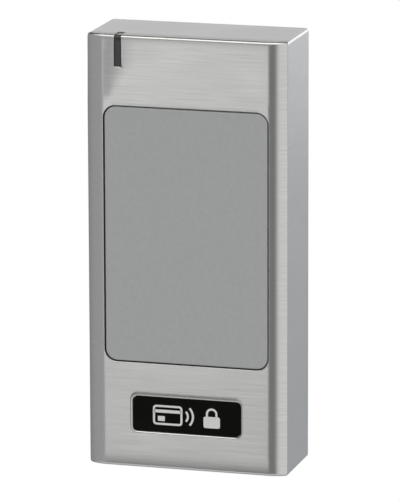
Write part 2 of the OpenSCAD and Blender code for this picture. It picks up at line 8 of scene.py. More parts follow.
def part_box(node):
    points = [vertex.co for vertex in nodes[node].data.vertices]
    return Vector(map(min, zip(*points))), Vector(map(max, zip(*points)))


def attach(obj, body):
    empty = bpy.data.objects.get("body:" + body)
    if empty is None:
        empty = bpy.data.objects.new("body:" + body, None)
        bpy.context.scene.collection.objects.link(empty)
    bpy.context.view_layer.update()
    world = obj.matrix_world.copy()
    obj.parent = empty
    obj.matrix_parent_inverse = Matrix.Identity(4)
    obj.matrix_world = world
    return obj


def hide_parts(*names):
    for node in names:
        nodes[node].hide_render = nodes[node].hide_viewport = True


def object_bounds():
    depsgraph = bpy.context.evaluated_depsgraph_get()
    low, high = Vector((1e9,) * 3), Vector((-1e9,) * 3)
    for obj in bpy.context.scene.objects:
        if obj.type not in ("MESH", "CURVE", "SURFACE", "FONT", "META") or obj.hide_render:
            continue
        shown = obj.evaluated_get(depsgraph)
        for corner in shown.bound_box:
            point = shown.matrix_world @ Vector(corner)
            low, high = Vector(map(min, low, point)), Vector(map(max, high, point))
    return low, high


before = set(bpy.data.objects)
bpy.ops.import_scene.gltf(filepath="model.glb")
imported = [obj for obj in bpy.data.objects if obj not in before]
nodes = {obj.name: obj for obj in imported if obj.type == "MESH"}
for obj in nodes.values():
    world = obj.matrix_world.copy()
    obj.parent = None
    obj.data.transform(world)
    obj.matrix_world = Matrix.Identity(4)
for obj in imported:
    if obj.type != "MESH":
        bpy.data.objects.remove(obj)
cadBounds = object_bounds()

mm = 0.001
scene = bpy.context.scene
caseLow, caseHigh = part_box("front_case")
frontY = caseLow.y
rearY = caseHigh.y
topZ = caseHigh.z
bottomZ = caseLow.z
halfWidth = caseHigh.x


# Camera, light and floor. Angles are in degrees.
cameraSetup = {
    "azimuth": 16.07,
    "elevation": 12.84,
    "roll": -0.185,
    "distance": 1.1327,
    "lens": 351.9,
    "aimRight": 3.45 * mm,
    "aimUp": 1.83 * mm,
}


def makeCamera(s):
    a, e, roll = (math.radians(s[k]) for k in ("azimuth", "elevation", "roll"))
    back = Vector((math.sin(a) * math.cos(e), -math.cos(a) * math.cos(e), math.sin(e)))
    right = Vector((math.cos(a), math.sin(a), 0))
    up = back.cross(right)
    axisX = right * math.cos(roll) + up * math.sin(roll)
    axisY = up * math.cos(roll) - right * math.sin(roll)
    aim = Vector((s["aimRight"], frontY, (topZ + bottomZ) / 2 + s["aimUp"]))
    data = bpy.data.cameras.new("studioCamera")
    data.lens = s["lens"]
    data.clip_end = 20
    camera = bpy.data.objects.new("studioCamera", data)
    scene.collection.objects.link(camera)
    turn = Matrix((axisX, axisY, back)).transposed().to_4x4()
    camera.matrix_world = Matrix.Translation(aim + back * s["distance"]) @ turn
    scene.camera = camera


makeCamera(cameraSetup)
scene.view_settings.view_transform = "Standard"
print("camera ready")

# Each panel is a soft-edged patch of the studio round the reader: where it stands, how far it
# reaches each way, how soft its edge is, all in degrees, and its colour and brightness.
studio = {
    "room": (0.42, 0.42, 0.43),
    "panels": [
        ("low behind", 180, 100, -30, 50, 20, 8, (0.30, 0.31, 0.33)),
        ("low behind right", 150, 22, -30, 50, 12, 8, (0.39, 0.405, 0.425)),
        ("sweep behind", 180, 60, 4, 11, 20, 4, (1.42, 1.42, 1.43)),
        ("ceiling behind", 180, 95, 57, 35, 10, 6, (0.12, 0.12, 0.12)),
        ("softbox overhead", 0, 70, 66, 22, 15, 6, (2.2, 2.18, 2.12)),
        ("floor bounce", 0, 100, -76, 26, 20, 6, (0.85, 0.85, 0.84)),
        ("wall front left", -15.5, 6, 16, 24, 2.5, 8, (0.34, 0.34, 0.335)),
        ("floor front left", -15.5, 6, -33, 19, 2.5, 5, (0.07, 0.07, 0.07)),
        ("reflector front left", -15.5, 6, -9, 7, 2.5, 3, (1.62, 1.62, 1.61)),
        ("dark room in front", 5, 15.5, 0, 46, 3.5, 10, (0.215, 0.217, 0.22)),
        ("softbox right", 62, 40, 0, 60, 11, 10, (0.84, 0.84, 0.83)),
    ],
    "backdrop": 1.0,
    "floorTone": 0.86,
    "floorSize": 8.0,
}


def addNode(tree, kind, **values):
    node = tree.nodes.new(kind)
    for key, value in values.items():
        setattr(node, key, value)
    return node


def feed(tree, socket, value):
    if isinstance(value, bpy.types.NodeSocket):
        tree.links.new(value, socket)
    else:
        socket.default_value = value


def calc(tree, operation, a, b=0.0, c=0.0):
    node = addNode(tree, "ShaderNodeMath", operation=operation)
    for socket, value in zip(node.inputs, (a, b, c)):
        feed(tree, socket, value)
    return node.outputs[0]


def remap(tree, value, low, high, outLow=0.0, outHigh=1.0, way="SMOOTHSTEP"):
    node = addNode(tree, "ShaderNodeMapRange", interpolation_type=way)
    for socket, v in zip(node.inputs, (value, low, high, outLow, outHigh)):
        feed(tree, socket, v)
    return node.outputs[0]


def blendColor(tree, amount, a, b, way="MIX"):
    node = addNode(tree, "ShaderNodeMix", data_type="RGBA", blend_type=way)
    feed(tree, node.inputs[0], amount)
    feed(tree, node.inputs[6], a)
    feed(tree, node.inputs[7], b)
    return node.outputs[2]


def makeStudio(s):
    world = bpy.data.worlds.new("studio")
    scene.world = world
    world.use_nodes = True
    tree = world.node_tree
    tree.nodes.clear()
    direction = addNode(tree, "ShaderNodeTexCoord").outputs["Generated"]
    split = addNode(tree, "ShaderNodeSeparateXYZ")
    tree.links.new(direction, split.inputs[0])
    x, y, z = split.outputs
    azimuth = calc(tree, "DEGREES", calc(tree, "ARCTAN2", x, calc(tree, "MULTIPLY", y, -1.0)))
    elevation = calc(tree, "DEGREES", calc(tree, "ARCSINE", z))
    color = (*s["room"], 1)
    for name, az, azReach, el, elReach, azSoft, elSoft, tone in s["panels"]:
        offset = calc(tree, "WRAP", calc(tree, "SUBTRACT", azimuth, az), 180.0, -180.0)
        across = calc(tree, "ABSOLUTE", offset)
        upward = calc(tree, "ABSOLUTE", calc(tree, "SUBTRACT", elevation, el))
        inside = calc(
            tree, "MULTIPLY",
            remap(tree, across, azReach - azSoft, azReach + azSoft, 1.0, 0.0),
            remap(tree, upward, elReach - elSoft, elReach + elSoft, 1.0, 0.0),
        )
        color = blendColor(tree, inside, color, (*tone, 1))
    seen = addNode(tree, "ShaderNodeLightPath").outputs["Is Camera Ray"]
    white = s["backdrop"]
    color = blendColor(tree, seen, color, (white, white, white, 1))
    background = addNode(tree, "ShaderNodeBackground")
    tree.links.new(color, background.inputs["Color"])
    out = addNode(tree, "ShaderNodeOutputWorld")
    tree.links.new(background.outputs[0], out.inputs["Surface"])


def makeFloor(s):
    material = bpy.data.materials.new("paleFloor")
    material.use_nodes = True
    tree = material.node_tree
    tree.nodes.clear()
    tone = s["floorTone"]
    paper = addNode(tree, "ShaderNodeBsdfDiffuse")
    paper.inputs["Color"].default_value = (tone, tone, tone, 1)
    glow = addNode(tree, "ShaderNodeEmission")
    seen = addNode(tree, "ShaderNodeLightPath").outputs["Is Camera Ray"]
    mix = addNode(tree, "ShaderNodeMixShader")
    tree.links.new(seen, mix.inputs[0])
    tree.links.new(paper.outputs[0], mix.inputs[1])
    tree.links.new(glow.outputs[0], mix.inputs[2])
    # seen from below, the floor lets the reader show through
    under = addNode(tree, "ShaderNodeNewGeometry").outputs["Backfacing"]
    sheet = addNode(tree, "ShaderNodeMixShader")
    tree.links.new(under, sheet.inputs[0])
    tree.links.new(mix.outputs[0], sheet.inputs[1])
    tree.links.new(addNode(tree, "ShaderNodeBsdfTransparent").outputs[0], sheet.inputs[2])
    out = addNode(tree, "ShaderNodeOutputMaterial")
    tree.links.new(sheet.outputs[0], out.inputs["Surface"])
    reach = s["floorSize"] / 2
    mesh = bpy.data.meshes.new("floor")
    corners = [(-reach, -reach), (reach, -reach), (reach, reach), (-reach, reach)]
    mesh.from_pydata([(x, y, cadBounds[0][2]) for x, y in corners], [], [(0, 1, 2, 3)])
    mesh.materials.append(material)
    floor = bpy.data.objects.new("floor", mesh)
    scene.collection.objects.link(floor)
    floor.visible_glossy = False
    floor.visible_diffuse = False


# A small soft light behind the right side, in millimetres and watts
sideCard = {
    "middle": (90.0, 196.0, 78.0),
    "aim": (24.0, -10.0, 20.0),
    "size": (180.0, 200.0),
    "power": 0.013,
    "tint": (0.96, 0.98, 1.0),
}


def makeSideCard(s):
    light = bpy.data.lights.new("sideCard", "AREA")
    light.shape = "RECTANGLE"
    light.size, light.size_y = (v * mm for v in s["size"])
    light.energy = s["power"]
    light.color = s["tint"]
    card = bpy.data.objects.new("sideCard", light)
    card.location = [v * mm for v in s["middle"]]
    facing = Vector([a - b for a, b in zip(s["aim"], s["middle"])])
    card.rotation_euler = facing.to_track_quat("-Z", "Y").to_euler()
    card.visible_camera = False
    scene.collection.objects.link(card)


makeStudio(studio)
makeSideCard(sideCard)
makeFloor(studio)
print("studio and floor ready")


def link(name, mesh):
    thing = bpy.data.objects.new(name, mesh)
    scene.collection.objects.link(thing)
    return thing


def roundedLoop(x0, z0, x1, z1, radius, steps=8):
    # Points of a rounded rectangle, anticlockwise seen from the front.
    loop = []
    corners = ((x1, z0, -90), (x1, z1, 0), (x0, z1, 90), (x0, z0, 180))
    for x, z, start in corners:
        cx = x - radius if x == x1 else x + radius
        cz = z - radius if z == z1 else z + radius
        for i in range(steps + 1):
            a = math.radians(start + 90 * i / steps)
            loop.append((cx + radius * math.cos(a), cz + radius * math.sin(a)))
    return loop


def skin(name, rings, caps=(True, True)):
    # Joins closed rings of equal length into one closed mesh.
    mesh = bmesh.new()
    rows = [[mesh.verts.new(p) for p in ring] for ring in rings]
    n = len(rows[0])
    for a, b in zip(rows, rows[1:]):
        for i in range(n):
            mesh.faces.new((a[i], a[(i + 1) % n], b[(i + 1) % n], b[i]))
    if caps[0]:
        mesh.faces.new(list(reversed(rows[0])))
    if caps[1]:
        mesh.faces.new(rows[-1])
    bmesh.ops.recalc_face_normals(mesh, faces=mesh.faces)
    data = bpy.data.meshes.new(name)
    mesh.to_mesh(data)
    mesh.free()
    return link(name, data)


def boolean(body, tools, operation="DIFFERENCE"):
    for tool in tools:
        step = body.modifiers.new("cut", "BOOLEAN")
        step.object = tool
        step.operation = operation
        step.solver = "EXACT"
        bpy.context.view_layer.update()
        graph = bpy.context.evaluated_depsgraph_get()
        made = bpy.data.meshes.new_from_object(body.evaluated_get(graph))
        body.modifiers.clear()
        body.data = made
        bpy.data.objects.remove(tool)
    return body


def smooth(body, angle=32):
    body.data.shade_smooth()
    body.data.set_sharp_from_angle(angle=math.radians(angle))
    step = body.modifiers.new("evenShading", "WEIGHTED_NORMAL")
    step.keep_sharp = True
    step.weight = 100


def settle(piece, node, body, slotName, *used, angle=32):
    # Finishes, shading, the CAD part it stands for and the body it moves with.
    smooth(piece, angle)
    piece.data.materials.clear()  # this sets every face back to the first finish
    for finish in used:
        piece.data.materials.append(finishes[finish])
    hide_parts(node)
    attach(piece, body)


def atDepth(loop, y):
    return [(x, y, z) for x, z in loop]


def atHeight(loop, z):
    return [(x, y, z) for x, y in loop]


def prism(name, loop, y0, y1):
    return skin(name, [atDepth(loop, y0), atDepth(loop, y1)])


def circleLoop(x, z, radius, steps=40):
    turn = [2 * math.pi * i / steps for i in range(steps)]
    return [(x + radius * math.cos(a), z + radius * math.sin(a)) for a in turn]


def rodY(name, x, z, y0, y1, radius, steps=40):
    return prism(name, circleLoop(x, z, radius, steps), y0, y1)


def brick(name, x0, y0, z0, x1, y1, z1):
    return prism(name, [(x0, z0), (x1, z0), (x1, z1), (x0, z1)], y0, y1)


def flared(name, x0, z0, x1, z1, radius, surface, depth, lips, lipDepth, steps=10, lipSteps=6):
    # A cutter for an opening whose edge rolls in. The lips are the roll's widths at left, bottom,
    # right and top.
    left, bottom, right, top = lips
    spread = sum(lips) / 4
    rings = []
    for i in range(lipSteps + 1):
        b = math.pi / 2 * i / lipSteps
        out = 1 - math.sin(b)
        loop = roundedLoop(x0 - left * out, z0 - bottom * out, x1 + right * out, z1 + top * out,
                           radius + spread * out, steps)
        rings.append(atDepth(loop, surface + lipDepth * (1 - math.cos(b))))
    rings.insert(0, [(x, surface - 0.4 * mm, z) for x, y, z in rings[0]])
    rings.append([(x, surface + depth, z) for x, y, z in rings[-1]])
    return skin(name, rings)


# The case, in millimetres
shell = {
    "edgeRadius": 7.2,       # rounding of the tall front edges
    "edgeReach": 4.5,        # how far each rounding reaches in from the side
    "creaseSoft": 0.28,      # softening of the crease where a rounding meets its side
    "topRound": 0.6,
    "bottomRound": 0.9,
    "cornerRound": 0.7,
    "rearRound": 0.4,
    "topFade": (3.8, 0.20),  # height and drop of the soft polish towards the top edge
    "bottomFade": (4.4, 0.21),
    "topSlope": (4.5, 0.10),  # reach and drop of the top face towards its front edge
    # Soft polish at the top left: start below the top, first width, widening, slope, greatest width
    "leftPolish": (15.5, 1.6, 0.75, 0.045, 9.0),
    "frontWall": 2.0,
    "sideWall": 2.8,
    "rimWall": 1.6,
    "roomRound": 1.0,
    "rimPocketRound": 1.4,
    "floor": (14.0, 15.5),   # underside and top of the floor below the electronics
    "lockFloor": 2.0,
    "ledge": 13.4,
    "coverSeat": 14.0,
    "boardSeat": 7.6,
    "screwHead": 1.9,
    "pillarRadii": (2.6, 1.9),
    "boardBossRadius": 2.4,
    "tappedRadius": 1.04,
    "tappedDepths": (5.6, 4.0),  # under the cover's screws and the board's
}

opening = {
    "flange": 1.3,           # reach of the panel's flange behind the front wall
    "panelEdge": 0.38,       # rounding of the panel's front edge
    "gap": 0.28,
    "round": 2.7,
    "lips": (0.07, 0.2, 0.14, 0.14),
    "lipDepth": 0.16,
}

platePocket = {
    "gap": 0.12,
    "round": 1.1,
    "lips": (0.55, 0.5, 0.55, 1.25),
    "lipDepth": 0.36,
}

lightSlot = {
    "lens": (1.6, 7.4, 4.2),  # width, length down the front, reach onto the top face
    "lensEdge": 0.12,
    "lensSink": 0.15,
    "lensBend": 0.7,          # rounding where the lens turns onto the top face
    "root": (2.2, 1.2),       # how far the hidden root reaches beside and below the lens
    "tail": (1.6, 0.6),
    "inset": 7.8,
    "gap": 0.06,
    "lips": (0.28, 0.42, 0.28, 0.3),
    "lipDepth": 0.3,
}

lockPocket = {
    "axis": 7.0,             # distance of the screw's axis from the wall
    "bore": 3.0,
    "seat": 5.1,
    "shank": 1.6,
    "bossRadius": 4.6,
    "bossTop": 6.3,
}

hangingRib = {"axis": 2.0, "thick": 1.8, "below": 3.2}


def planLoop(s, side, front, rear, rearCorner):
    # Outline of the case from above, pulled in by the given amounts. Each point has a weight: 0 on
    # the flat front, 1 at the side, 2 at the back.
    r, reach = s["edgeRadius"] * mm, s["edgeReach"] * mm
    cx, cy = halfWidth - reach, frontY + r
    flat = [(cx * k / 20, frontY + front, 0.0) for k in range(20)]
    end = math.asin((reach - side) / (r - side))
    arc = []
    for k in range(15):
        t = k / 14
        a = end * t
        arc.append((cx + (r - side) * math.sin(a), cy - (r - front) * math.cos(a), t))
    crease = arc.pop()
    soft = s["creaseSoft"] * mm
    while arc and math.dist(arc[-1][:2], crease[:2]) < soft:
        arc.pop()
    a = end - soft / r
    start = (cx + (r - side) * math.sin(a), cy - (r - front) * math.cos(a))
    stop = (halfWidth - side, crease[1] + soft)
    bend = []
    for k in range(7):
        t = k / 6
        u = 1 - t
        bend.append((u * u * start[0] + 2 * u * t * crease[0] + t * t * stop[0],
                     u * u * start[1] + 2 * u * t * crease[1] + t * t * stop[1], 1.0))
    rc = rearCorner
    corner = []
    for k in range(9):
        b = math.pi / 2 * k / 8
        corner.append((halfWidth - side - rc * (1 - math.cos(b)),
                       rearY - rear - rc * (1 - math.sin(b)), 1 + k / 8))
    middle = [(halfWidth - side, (stop[1] + corner[0][1]) / 2, 1.0)]
    half = flat + arc + bend + middle + corner
    left = [(-x, y, w) for x, y, w in reversed(half[1:])]
    return half + left


def caseRings(s):
    # Rings of the outer case from the bottom face up to the top face.
    rings = []

    def ring(end, a):
        front = s["topRound"] if end > 0 else s["bottomRound"]
        side, rear = s["cornerRound"], s["rearRound"]
        keep = 1 - math.cos(a)
        corner = rear * (1 - 0.6 * keep)
        loop = planLoop(s, side * keep * mm, front * keep * mm, rear * keep * mm, corner * mm)
        base = topZ if end > 0 else bottomZ
        points = []
        for x, y, w in loop:
            radius = front + (side - front) * min(w, 1) + (rear - side) * max(w - 1, 0)
            points.append((x, y, base - end * radius * (1 - math.sin(a)) * mm))
        return points

    steps = 9
    for k in range(steps + 1):
        rings.append(ring(-1, math.pi / 2 * (1 - k / steps)))
    fadeRows = 9
    plan = planLoop(s, 0, 0, 0, s["rearRound"] * mm)

    def wall(z):
        return [(x, y, z) for x, y, w in plan]

    lowFade, highFade = s["bottomFade"][0] * mm, s["topFade"][0] * mm
    lowStart = bottomZ + s["cornerRound"] * mm
    for k in range(1, fadeRows + 1):
        rings.append(wall(lowStart + (lowFade - s["cornerRound"] * mm) * k / fadeRows))
    polish = s["leftPolish"][0] * mm
    for k in range(12):
        rings.append(wall(topZ - polish + (polish - highFade) * k / 12))
    for k in range(fadeRows):
        rings.append(wall(topZ - highFade + (highFade - s["cornerRound"] * mm) * k / fadeRows))
    for k in range(steps + 1):
        rings.append(ring(1, math.pi / 2 * k / steps))
    return rings


def rubFront(s, x, z):
    # How far the front has been rubbed back towards its top and bottom edges, and at its top left.
    drop = 0.0
    for (height, depth), gap in ((s["topFade"], topZ - z), (s["bottomFade"], z - bottomZ)):
        if gap < height * mm:
            drop += depth * mm * (1 - gap / (height * mm)) ** 3
    below, start, widen, slope, most = s["leftPolish"]
    rise = z - (topZ - below * mm)
    if rise > 0:
        width = min(start * mm * min(1.0, rise / mm) + widen * rise, most * mm)
        inward = max(0.0, x + halfWidth - s["edgeReach"] * mm)
        drop += slope * width * max(0.0, 1 - inward / width) ** 2
    return drop


def rubTop(s, y):
    # How far the top has been rubbed down towards its front edge.
    reach, depth = (v * mm for v in s["topSlope"])
    return depth * max(0.0, 1 - (y - frontY) / reach) ** 2.5


def softenSkin(body, s):
    # Rubs the front and the top down, easing to nothing a few millimetres behind each face.
    mesh = bmesh.new()
    mesh.from_mesh(body.data)
    for k in range(1, 9):
        y = frontY + s["topRound"] * mm + (s["topSlope"][0] - s["topRound"]) * mm * k / 8
        everything = mesh.verts[:] + mesh.edges[:] + mesh.faces[:]
        bmesh.ops.bisect_plane(mesh, geom=everything, plane_co=(0, y, 0), plane_no=(0, 1, 0), dist=1e-7)
    deep = 6 * mm
    for v in mesh.verts:
        x, y, z = v.co
        v.co.y += rubFront(s, x, z) * max(0.0, 1 - (y - frontY) / deep)
        v.co.z -= rubTop(s, y) * max(0.0, 1 - (topZ - z) / deep)
    mesh.to_mesh(body.data)
    mesh.free()


def makeShell(s):
    body = skin("caseShell", caseRings(s))
    softenSkin(body, s)
    roomX, rimX = halfWidth - s["sideWall"] * mm, halfWidth - s["rimWall"] * mm
    back = rearY + 1 * mm
    low, high = (bottomZ + v * mm for v in s["floor"])
    inside, ledge = frontY + s["frontWall"] * mm, frontY + s["ledge"] * mm
    roomRound, pocketRound = s["roomRound"] * mm, s["rimPocketRound"] * mm
    room = roundedLoop(-roomX, high, roomX, topZ - s["sideWall"] * mm, roomRound)
    rimPocket = roundedLoop(-rimX, low, rimX, topZ - s["rimWall"] * mm, pocketRound)
    lockRoom = roundedLoop(-rimX, bottomZ + s["lockFloor"] * mm, rimX, low - 0.02 * mm, pocketRound)
    rooms = [
        prism("room", room, inside, back),
        prism("rimPocket", rimPocket, ledge, back),
        prism("lockRoom", lockRoom, inside, back),
    ]
    boolean(body, rooms)
    boolean(body, [joined("posts", posts(s)), lockBoss(s, lockPocket), rib(s, hangingRib)], "UNION")
    boolean(body, [windowCutter(opening), plateCutter(platePocket), *slotCutters(lightSlot),
                   joined("tappedHoles", tappedHoles(s)), lockBore(lockPocket)])
    return body


def joined(name, parts):
    # Several separate closed shapes as one object.
    mesh = bmesh.new()
    for part in parts:
        mesh.from_mesh(part.data)
        bpy.data.objects.remove(part)
    data = bpy.data.meshes.new(name)
    mesh.to_mesh(data)
    mesh.free()
    return link(name, data)


def turnedY(name, x, z, profile, steps=40):
    # A round part along Y from (radius, y) pairs.
    return skin(name, [atDepth(circleLoop(x, z, r, steps), y) for r, y in profile])


def turnedZ(name, x, y, profile, steps=48):
    # A round part along Z from (radius, z) pairs.
    return skin(name, [atHeight(circleLoop(x, y, r, steps), z) for r, z in profile])


def postPlaces(s):
    # Corner pillars stand under the cover's screws, and the middle bosses under the board's.
    low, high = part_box("cover_screws")
    head = s["screwHead"] * mm
    levels = (low.z + head, high.z - head)
    return [(side * (high.x - head), z) for side in (-1, 1) for z in levels], [(0.0, z) for z in levels]


def posts(s):
    corner, middle = postPlaces(s)
    wide, narrow = (v * mm for v in s["pillarRadii"])
    start = frontY + (s["frontWall"] - 0.2) * mm
    seat, top = frontY + s["boardSeat"] * mm, frontY + s["coverSeat"] * mm
    profile = [(wide, start), (wide, seat), (narrow, seat + 0.01 * mm), (narrow, top)]
    made = [turnedY("pillar", x, z, profile) for x, z in corner]
    made += [rodY("boardBoss", x, z, start, seat, s["boardBossRadius"] * mm) for x, z in middle]
    return made


def tappedHoles(s):
    corner, middle = postPlaces(s)
    r = s["tappedRadius"] * mm
    top, seat = frontY + s["coverSeat"] * mm, frontY + s["boardSeat"] * mm
    deep, shallow = (v * mm for v in s["tappedDepths"])
    made = [rodY("coverHole", x, z, top - deep, top + 1 * mm, r, 24) for x, z in corner]
    made += [rodY("boardHole", x, z, seat - shallow, seat + 1 * mm, r, 24) for x, z in middle]
    return made


def lockBoss(s, p):
    return turnedZ("lockBoss", 0, -p["axis"] * mm, [
        (p["bossRadius"] * mm, bottomZ + (s["lockFloor"] - 0.3) * mm),
        (p["bossRadius"] * mm, bottomZ + (p["bossTop"] - 0.3) * mm),
        ((p["bossRadius"] - 0.3) * mm, bottomZ + p["bossTop"] * mm),
    ])


def lockBore(p):
    bore, shank = p["bore"] * mm, p["shank"] * mm
    return turnedZ("lockBore", 0, -p["axis"] * mm, [
        (bore + 0.6 * mm, bottomZ - 0.3 * mm),
        (bore + 0.3 * mm, bottomZ),
        (bore + 0.09 * mm, bottomZ + 0.09 * mm),
        (bore, bottomZ + 0.3 * mm),
        (bore, bottomZ + p["seat"] * mm),
        (shank, bottomZ + (p["seat"] + 0.01) * mm),
        (shank, bottomZ + (p["bossTop"] + 1) * mm),
    ])


def rib(s, p):
    # The round-nosed rib that hangs on the wall plate's hooks.
    reach = halfWidth - (s["rimWall"] - 0.1) * mm
    r = p["thick"] * mm / 2
    y, z = -p["axis"] * mm, topZ - p["below"] * mm
    top = topZ - (s["rimWall"] - 0.1) * mm
    turn = [math.pi * (1 + i / 16) for i in range(17)]
    loop = [(y + r * math.cos(a), z + r * math.sin(a)) for a in turn] + [(y + r, top), (y - r, top)]
    return skin("rib", [[(x, a, b) for a, b in loop] for x in (-reach, reach)])


def panelFace(p):
    # The visible outline of the window panel: x, low and high z.
    low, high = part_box("window_panel")
    reach = p["flange"] * mm
    return high.x - reach, low.z + reach, high.z - reach


def windowCutter(p):
    x, low, high = panelFace(p)
    g, lips = p["gap"] * mm, [v * mm for v in p["lips"]]
    return flared("windowCutter", -x - g, low - g, x + g, high + g, p["round"] * mm + g,
                  frontY, 3 * mm, lips, p["lipDepth"] * mm, 12, 8)


def plateCutter(p):
    low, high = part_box("name_plate")
    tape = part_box("name_plate_tape")[1].y
    g, lips = p["gap"] * mm, [v * mm for v in p["lips"]]
    return flared("plateCutter", low.x - g, low.z - g, high.x + g, high.z + g, p["round"] * mm + g,
                  frontY, tape - frontY, lips, p["lipDepth"] * mm, 10, 12)


def slotCutters(p):
    w, h, reach = (v * mm for v in p["lens"])
    g = p["gap"] * mm
    x = -halfWidth + p["inset"] * mm
    x0, x1 = x - w / 2 - g, x + w / 2 + g
    lips, lipDepth = [v * mm for v in p["lips"]], p["lipDepth"] * mm
    corner = 0.12 * mm
    front = flared("slotFront", x0, topZ - h - g, x1, topZ + 2 * mm, corner,
                   frontY + 0.02 * mm, reach, lips, lipDepth, 5)
    # the same opening seen from above, turned so that its depth runs down from the top face
    top = flared("slotTop", x0, -2 * mm, x1, reach, corner, 0, 1.6 * mm, lips, lipDepth, 5)
    for v in top.data.vertices:
        a, b, c = v.co
        v.co = (a, frontY + c, topZ - b)
    top.data.flip_normals()
    return [front, top]


def startFinish(name):
    material = bpy.data.materials.new(name)
    material.use_nodes = True
    tree = material.node_tree
    tree.nodes.clear()
    shader = addNode(tree, "ShaderNodeBsdfPrincipled")
    out = addNode(tree, "ShaderNodeOutputMaterial")
    tree.links.new(shader.outputs[0], out.inputs["Surface"])
    return material, tree, shader


def place(tree, stretch=(1, 1, 1)):
    # Object coordinates in millimetres, stretched along each axis.
    spot = addNode(tree, "ShaderNodeTexCoord").outputs["Object"]
    scale = addNode(tree, "ShaderNodeMapping")
    tree.links.new(spot, scale.inputs["Vector"])
    scale.inputs["Scale"].default_value = [1000 * v for v in stretch]
    return scale.outputs[0]


def cloud(tree, where, size, detail=3.0, rough=0.55):
    # Noise with features about size millimetres across, from 0 to 1.
    node = addNode(tree, "ShaderNodeTexNoise")
    tree.links.new(where, node.inputs["Vector"])
    node.inputs["Scale"].default_value = 1 / size
    node.inputs["Detail"].default_value = detail
    node.inputs["Roughness"].default_value = rough
    return node.outputs["Fac"]


def relief(tree, height, depth, below=None):
    # Turns a height from 0 to 1 into a bump of the given depth in millimetres.
    node = addNode(tree, "ShaderNodeBump")
    node.inputs["Strength"].default_value = 1.0
    node.inputs["Distance"].default_value = depth * mm
    tree.links.new(height, node.inputs["Height"])
    if below is not None:
        tree.links.new(below, node.inputs["Normal"])
    return node.outputs[0]


def shade(color, factor):
    return (*[min(1.0, v * factor) for v in color[:3]], 1)


satinLook = {
    "color": (0.658, 0.657, 0.648),
    "roughness": (0.258, 0.272),
    "stretch": 0.70,         # how much longer the glints run across the brush lines
    "lineLength": 14.0,
    "lineWidth": 0.16,
    "lineDepth": 0.00035,
    "waver": 0.0011,
    "mottle": 0.13,
}


def satinMetal(name, s):
    # Brushed plated metal. The brush runs level round the case, and along X on its top and bottom.
    material, tree, shader = startFinish(name)
    where = place(tree)
    parts = addNode(tree, "ShaderNodeSeparateXYZ")
    tree.links.new(where, parts.inputs[0])
    x, y, z = parts.outputs
    facing = addNode(tree, "ShaderNodeNewGeometry").outputs["Normal"]
    turned = addNode(tree, "ShaderNodeSeparateXYZ")
    tree.links.new(facing, turned.inputs[0])
    level = calc(tree, "GREATER_THAN", calc(tree, "ABSOLUTE", turned.outputs[2]), 0.8)
    along = calc(tree, "DIVIDE", calc(tree, "ADD", x, y), s["lineLength"])
    across = calc(tree, "DIVIDE", z, s["lineWidth"])
    depth = calc(tree, "DIVIDE", calc(tree, "MULTIPLY", y, level), s["lineWidth"])
    run = addNode(tree, "ShaderNodeCombineXYZ")
    for socket, v in zip(run.inputs, (along, across, depth)):
        tree.links.new(v, socket)
    lines = cloud(tree, run.outputs[0], 1.0, 5.0, 0.7)
    waver = cloud(tree, place(tree, (1, 1, 0.03)), 1.1, 2.0)
    broad = cloud(tree, place(tree, (0.5, 0.5, 1)), 9.0, 3.0)
    color = blendColor(tree, remap(tree, lines, 0.3, 0.7, way="LINEAR"),
                       shade(s["color"], 1 - s["mottle"]), shade(s["color"], 1 + s["mottle"]))
    color = blendColor(tree, remap(tree, broad, 0.3, 0.7, 0.0, 0.35), color, shade(s["color"], 0.97))
    tree.links.new(color, shader.inputs["Base Color"])
    shader.inputs["Metallic"].default_value = 1.0
    tree.links.new(remap(tree, broad, 0.3, 0.7, *s["roughness"]), shader.inputs["Roughness"])
    shader.inputs["Anisotropic"].default_value = s["stretch"]
    upward = addNode(tree, "ShaderNodeCombineXYZ")
    upward.inputs[1].default_value = 0.02
    upward.inputs[2].default_value = 1.0
    tree.links.new(upward.outputs[0], shader.inputs["Tangent"])
    bump = relief(tree, waver, s["waver"])
    tree.links.new(relief(tree, lines, s["lineDepth"], bump), shader.inputs["Normal"])
    return material


plainLooks = {
    # colour, roughness, mottle (size, share), grain (size, depth), then metal and more shader numbers
    "windowPlastic": dict(color=(0.495, 0.508, 0.505), rough=(0.50, 0.56),
                          mottle=(0.9, 0.035), grain=(0.22, 0.0016)),
    "blackPlate": dict(color=(0.006, 0.006, 0.0055), rough=(0.30, 0.42),
                       mottle=(4, 0.25), grain=(0.16, 0.0008),
                       **{"Specular IOR Level": 0.04}),
    "whitePrint": dict(color=(0.86, 0.86, 0.85), rough=(0.45, 0.5),
                       mottle=(2, 0.01), grain=(0.1, 0.0004)),
    "smokedPlastic": dict(color=(0.035, 0.035, 0.034), rough=(0.22, 0.3),
                          mottle=(1.5, 0.12), grain=(0.6, 0.0006)),
    "sealRubber": dict(color=(0.02, 0.02, 0.02), rough=(0.6, 0.75),
                       mottle=(1, 0.2), grain=(0.12, 0.002)),
}


def plainFinish(name, color, rough, mottle, grain, metal=0.0, **numbers):
    material, tree, shader = startFinish(name)
    where = place(tree)
    patches = cloud(tree, where, mottle[0])
    tint = blendColor(tree, remap(tree, patches, 0.3, 0.7, way="LINEAR"),
                      shade(color, 1 - mottle[1]), shade(color, 1 + mottle[1]))
    tree.links.new(tint, shader.inputs["Base Color"])
    tree.links.new(remap(tree, patches, 0.3, 0.7, *rough, way="LINEAR"), shader.inputs["Roughness"])
    shader.inputs["Metallic"].default_value = metal
    for key, value in numbers.items():
        shader.inputs[key].default_value = value
    tree.links.new(relief(tree, cloud(tree, where, grain[0], 2.0), grain[1]), shader.inputs["Normal"])
    return material


finishes = {name: plainFinish(name, **look) for name, look in plainLooks.items()}
finishes["satinMetal"] = satinMetal("satinMetal", satinLook)
print("finishes ready")

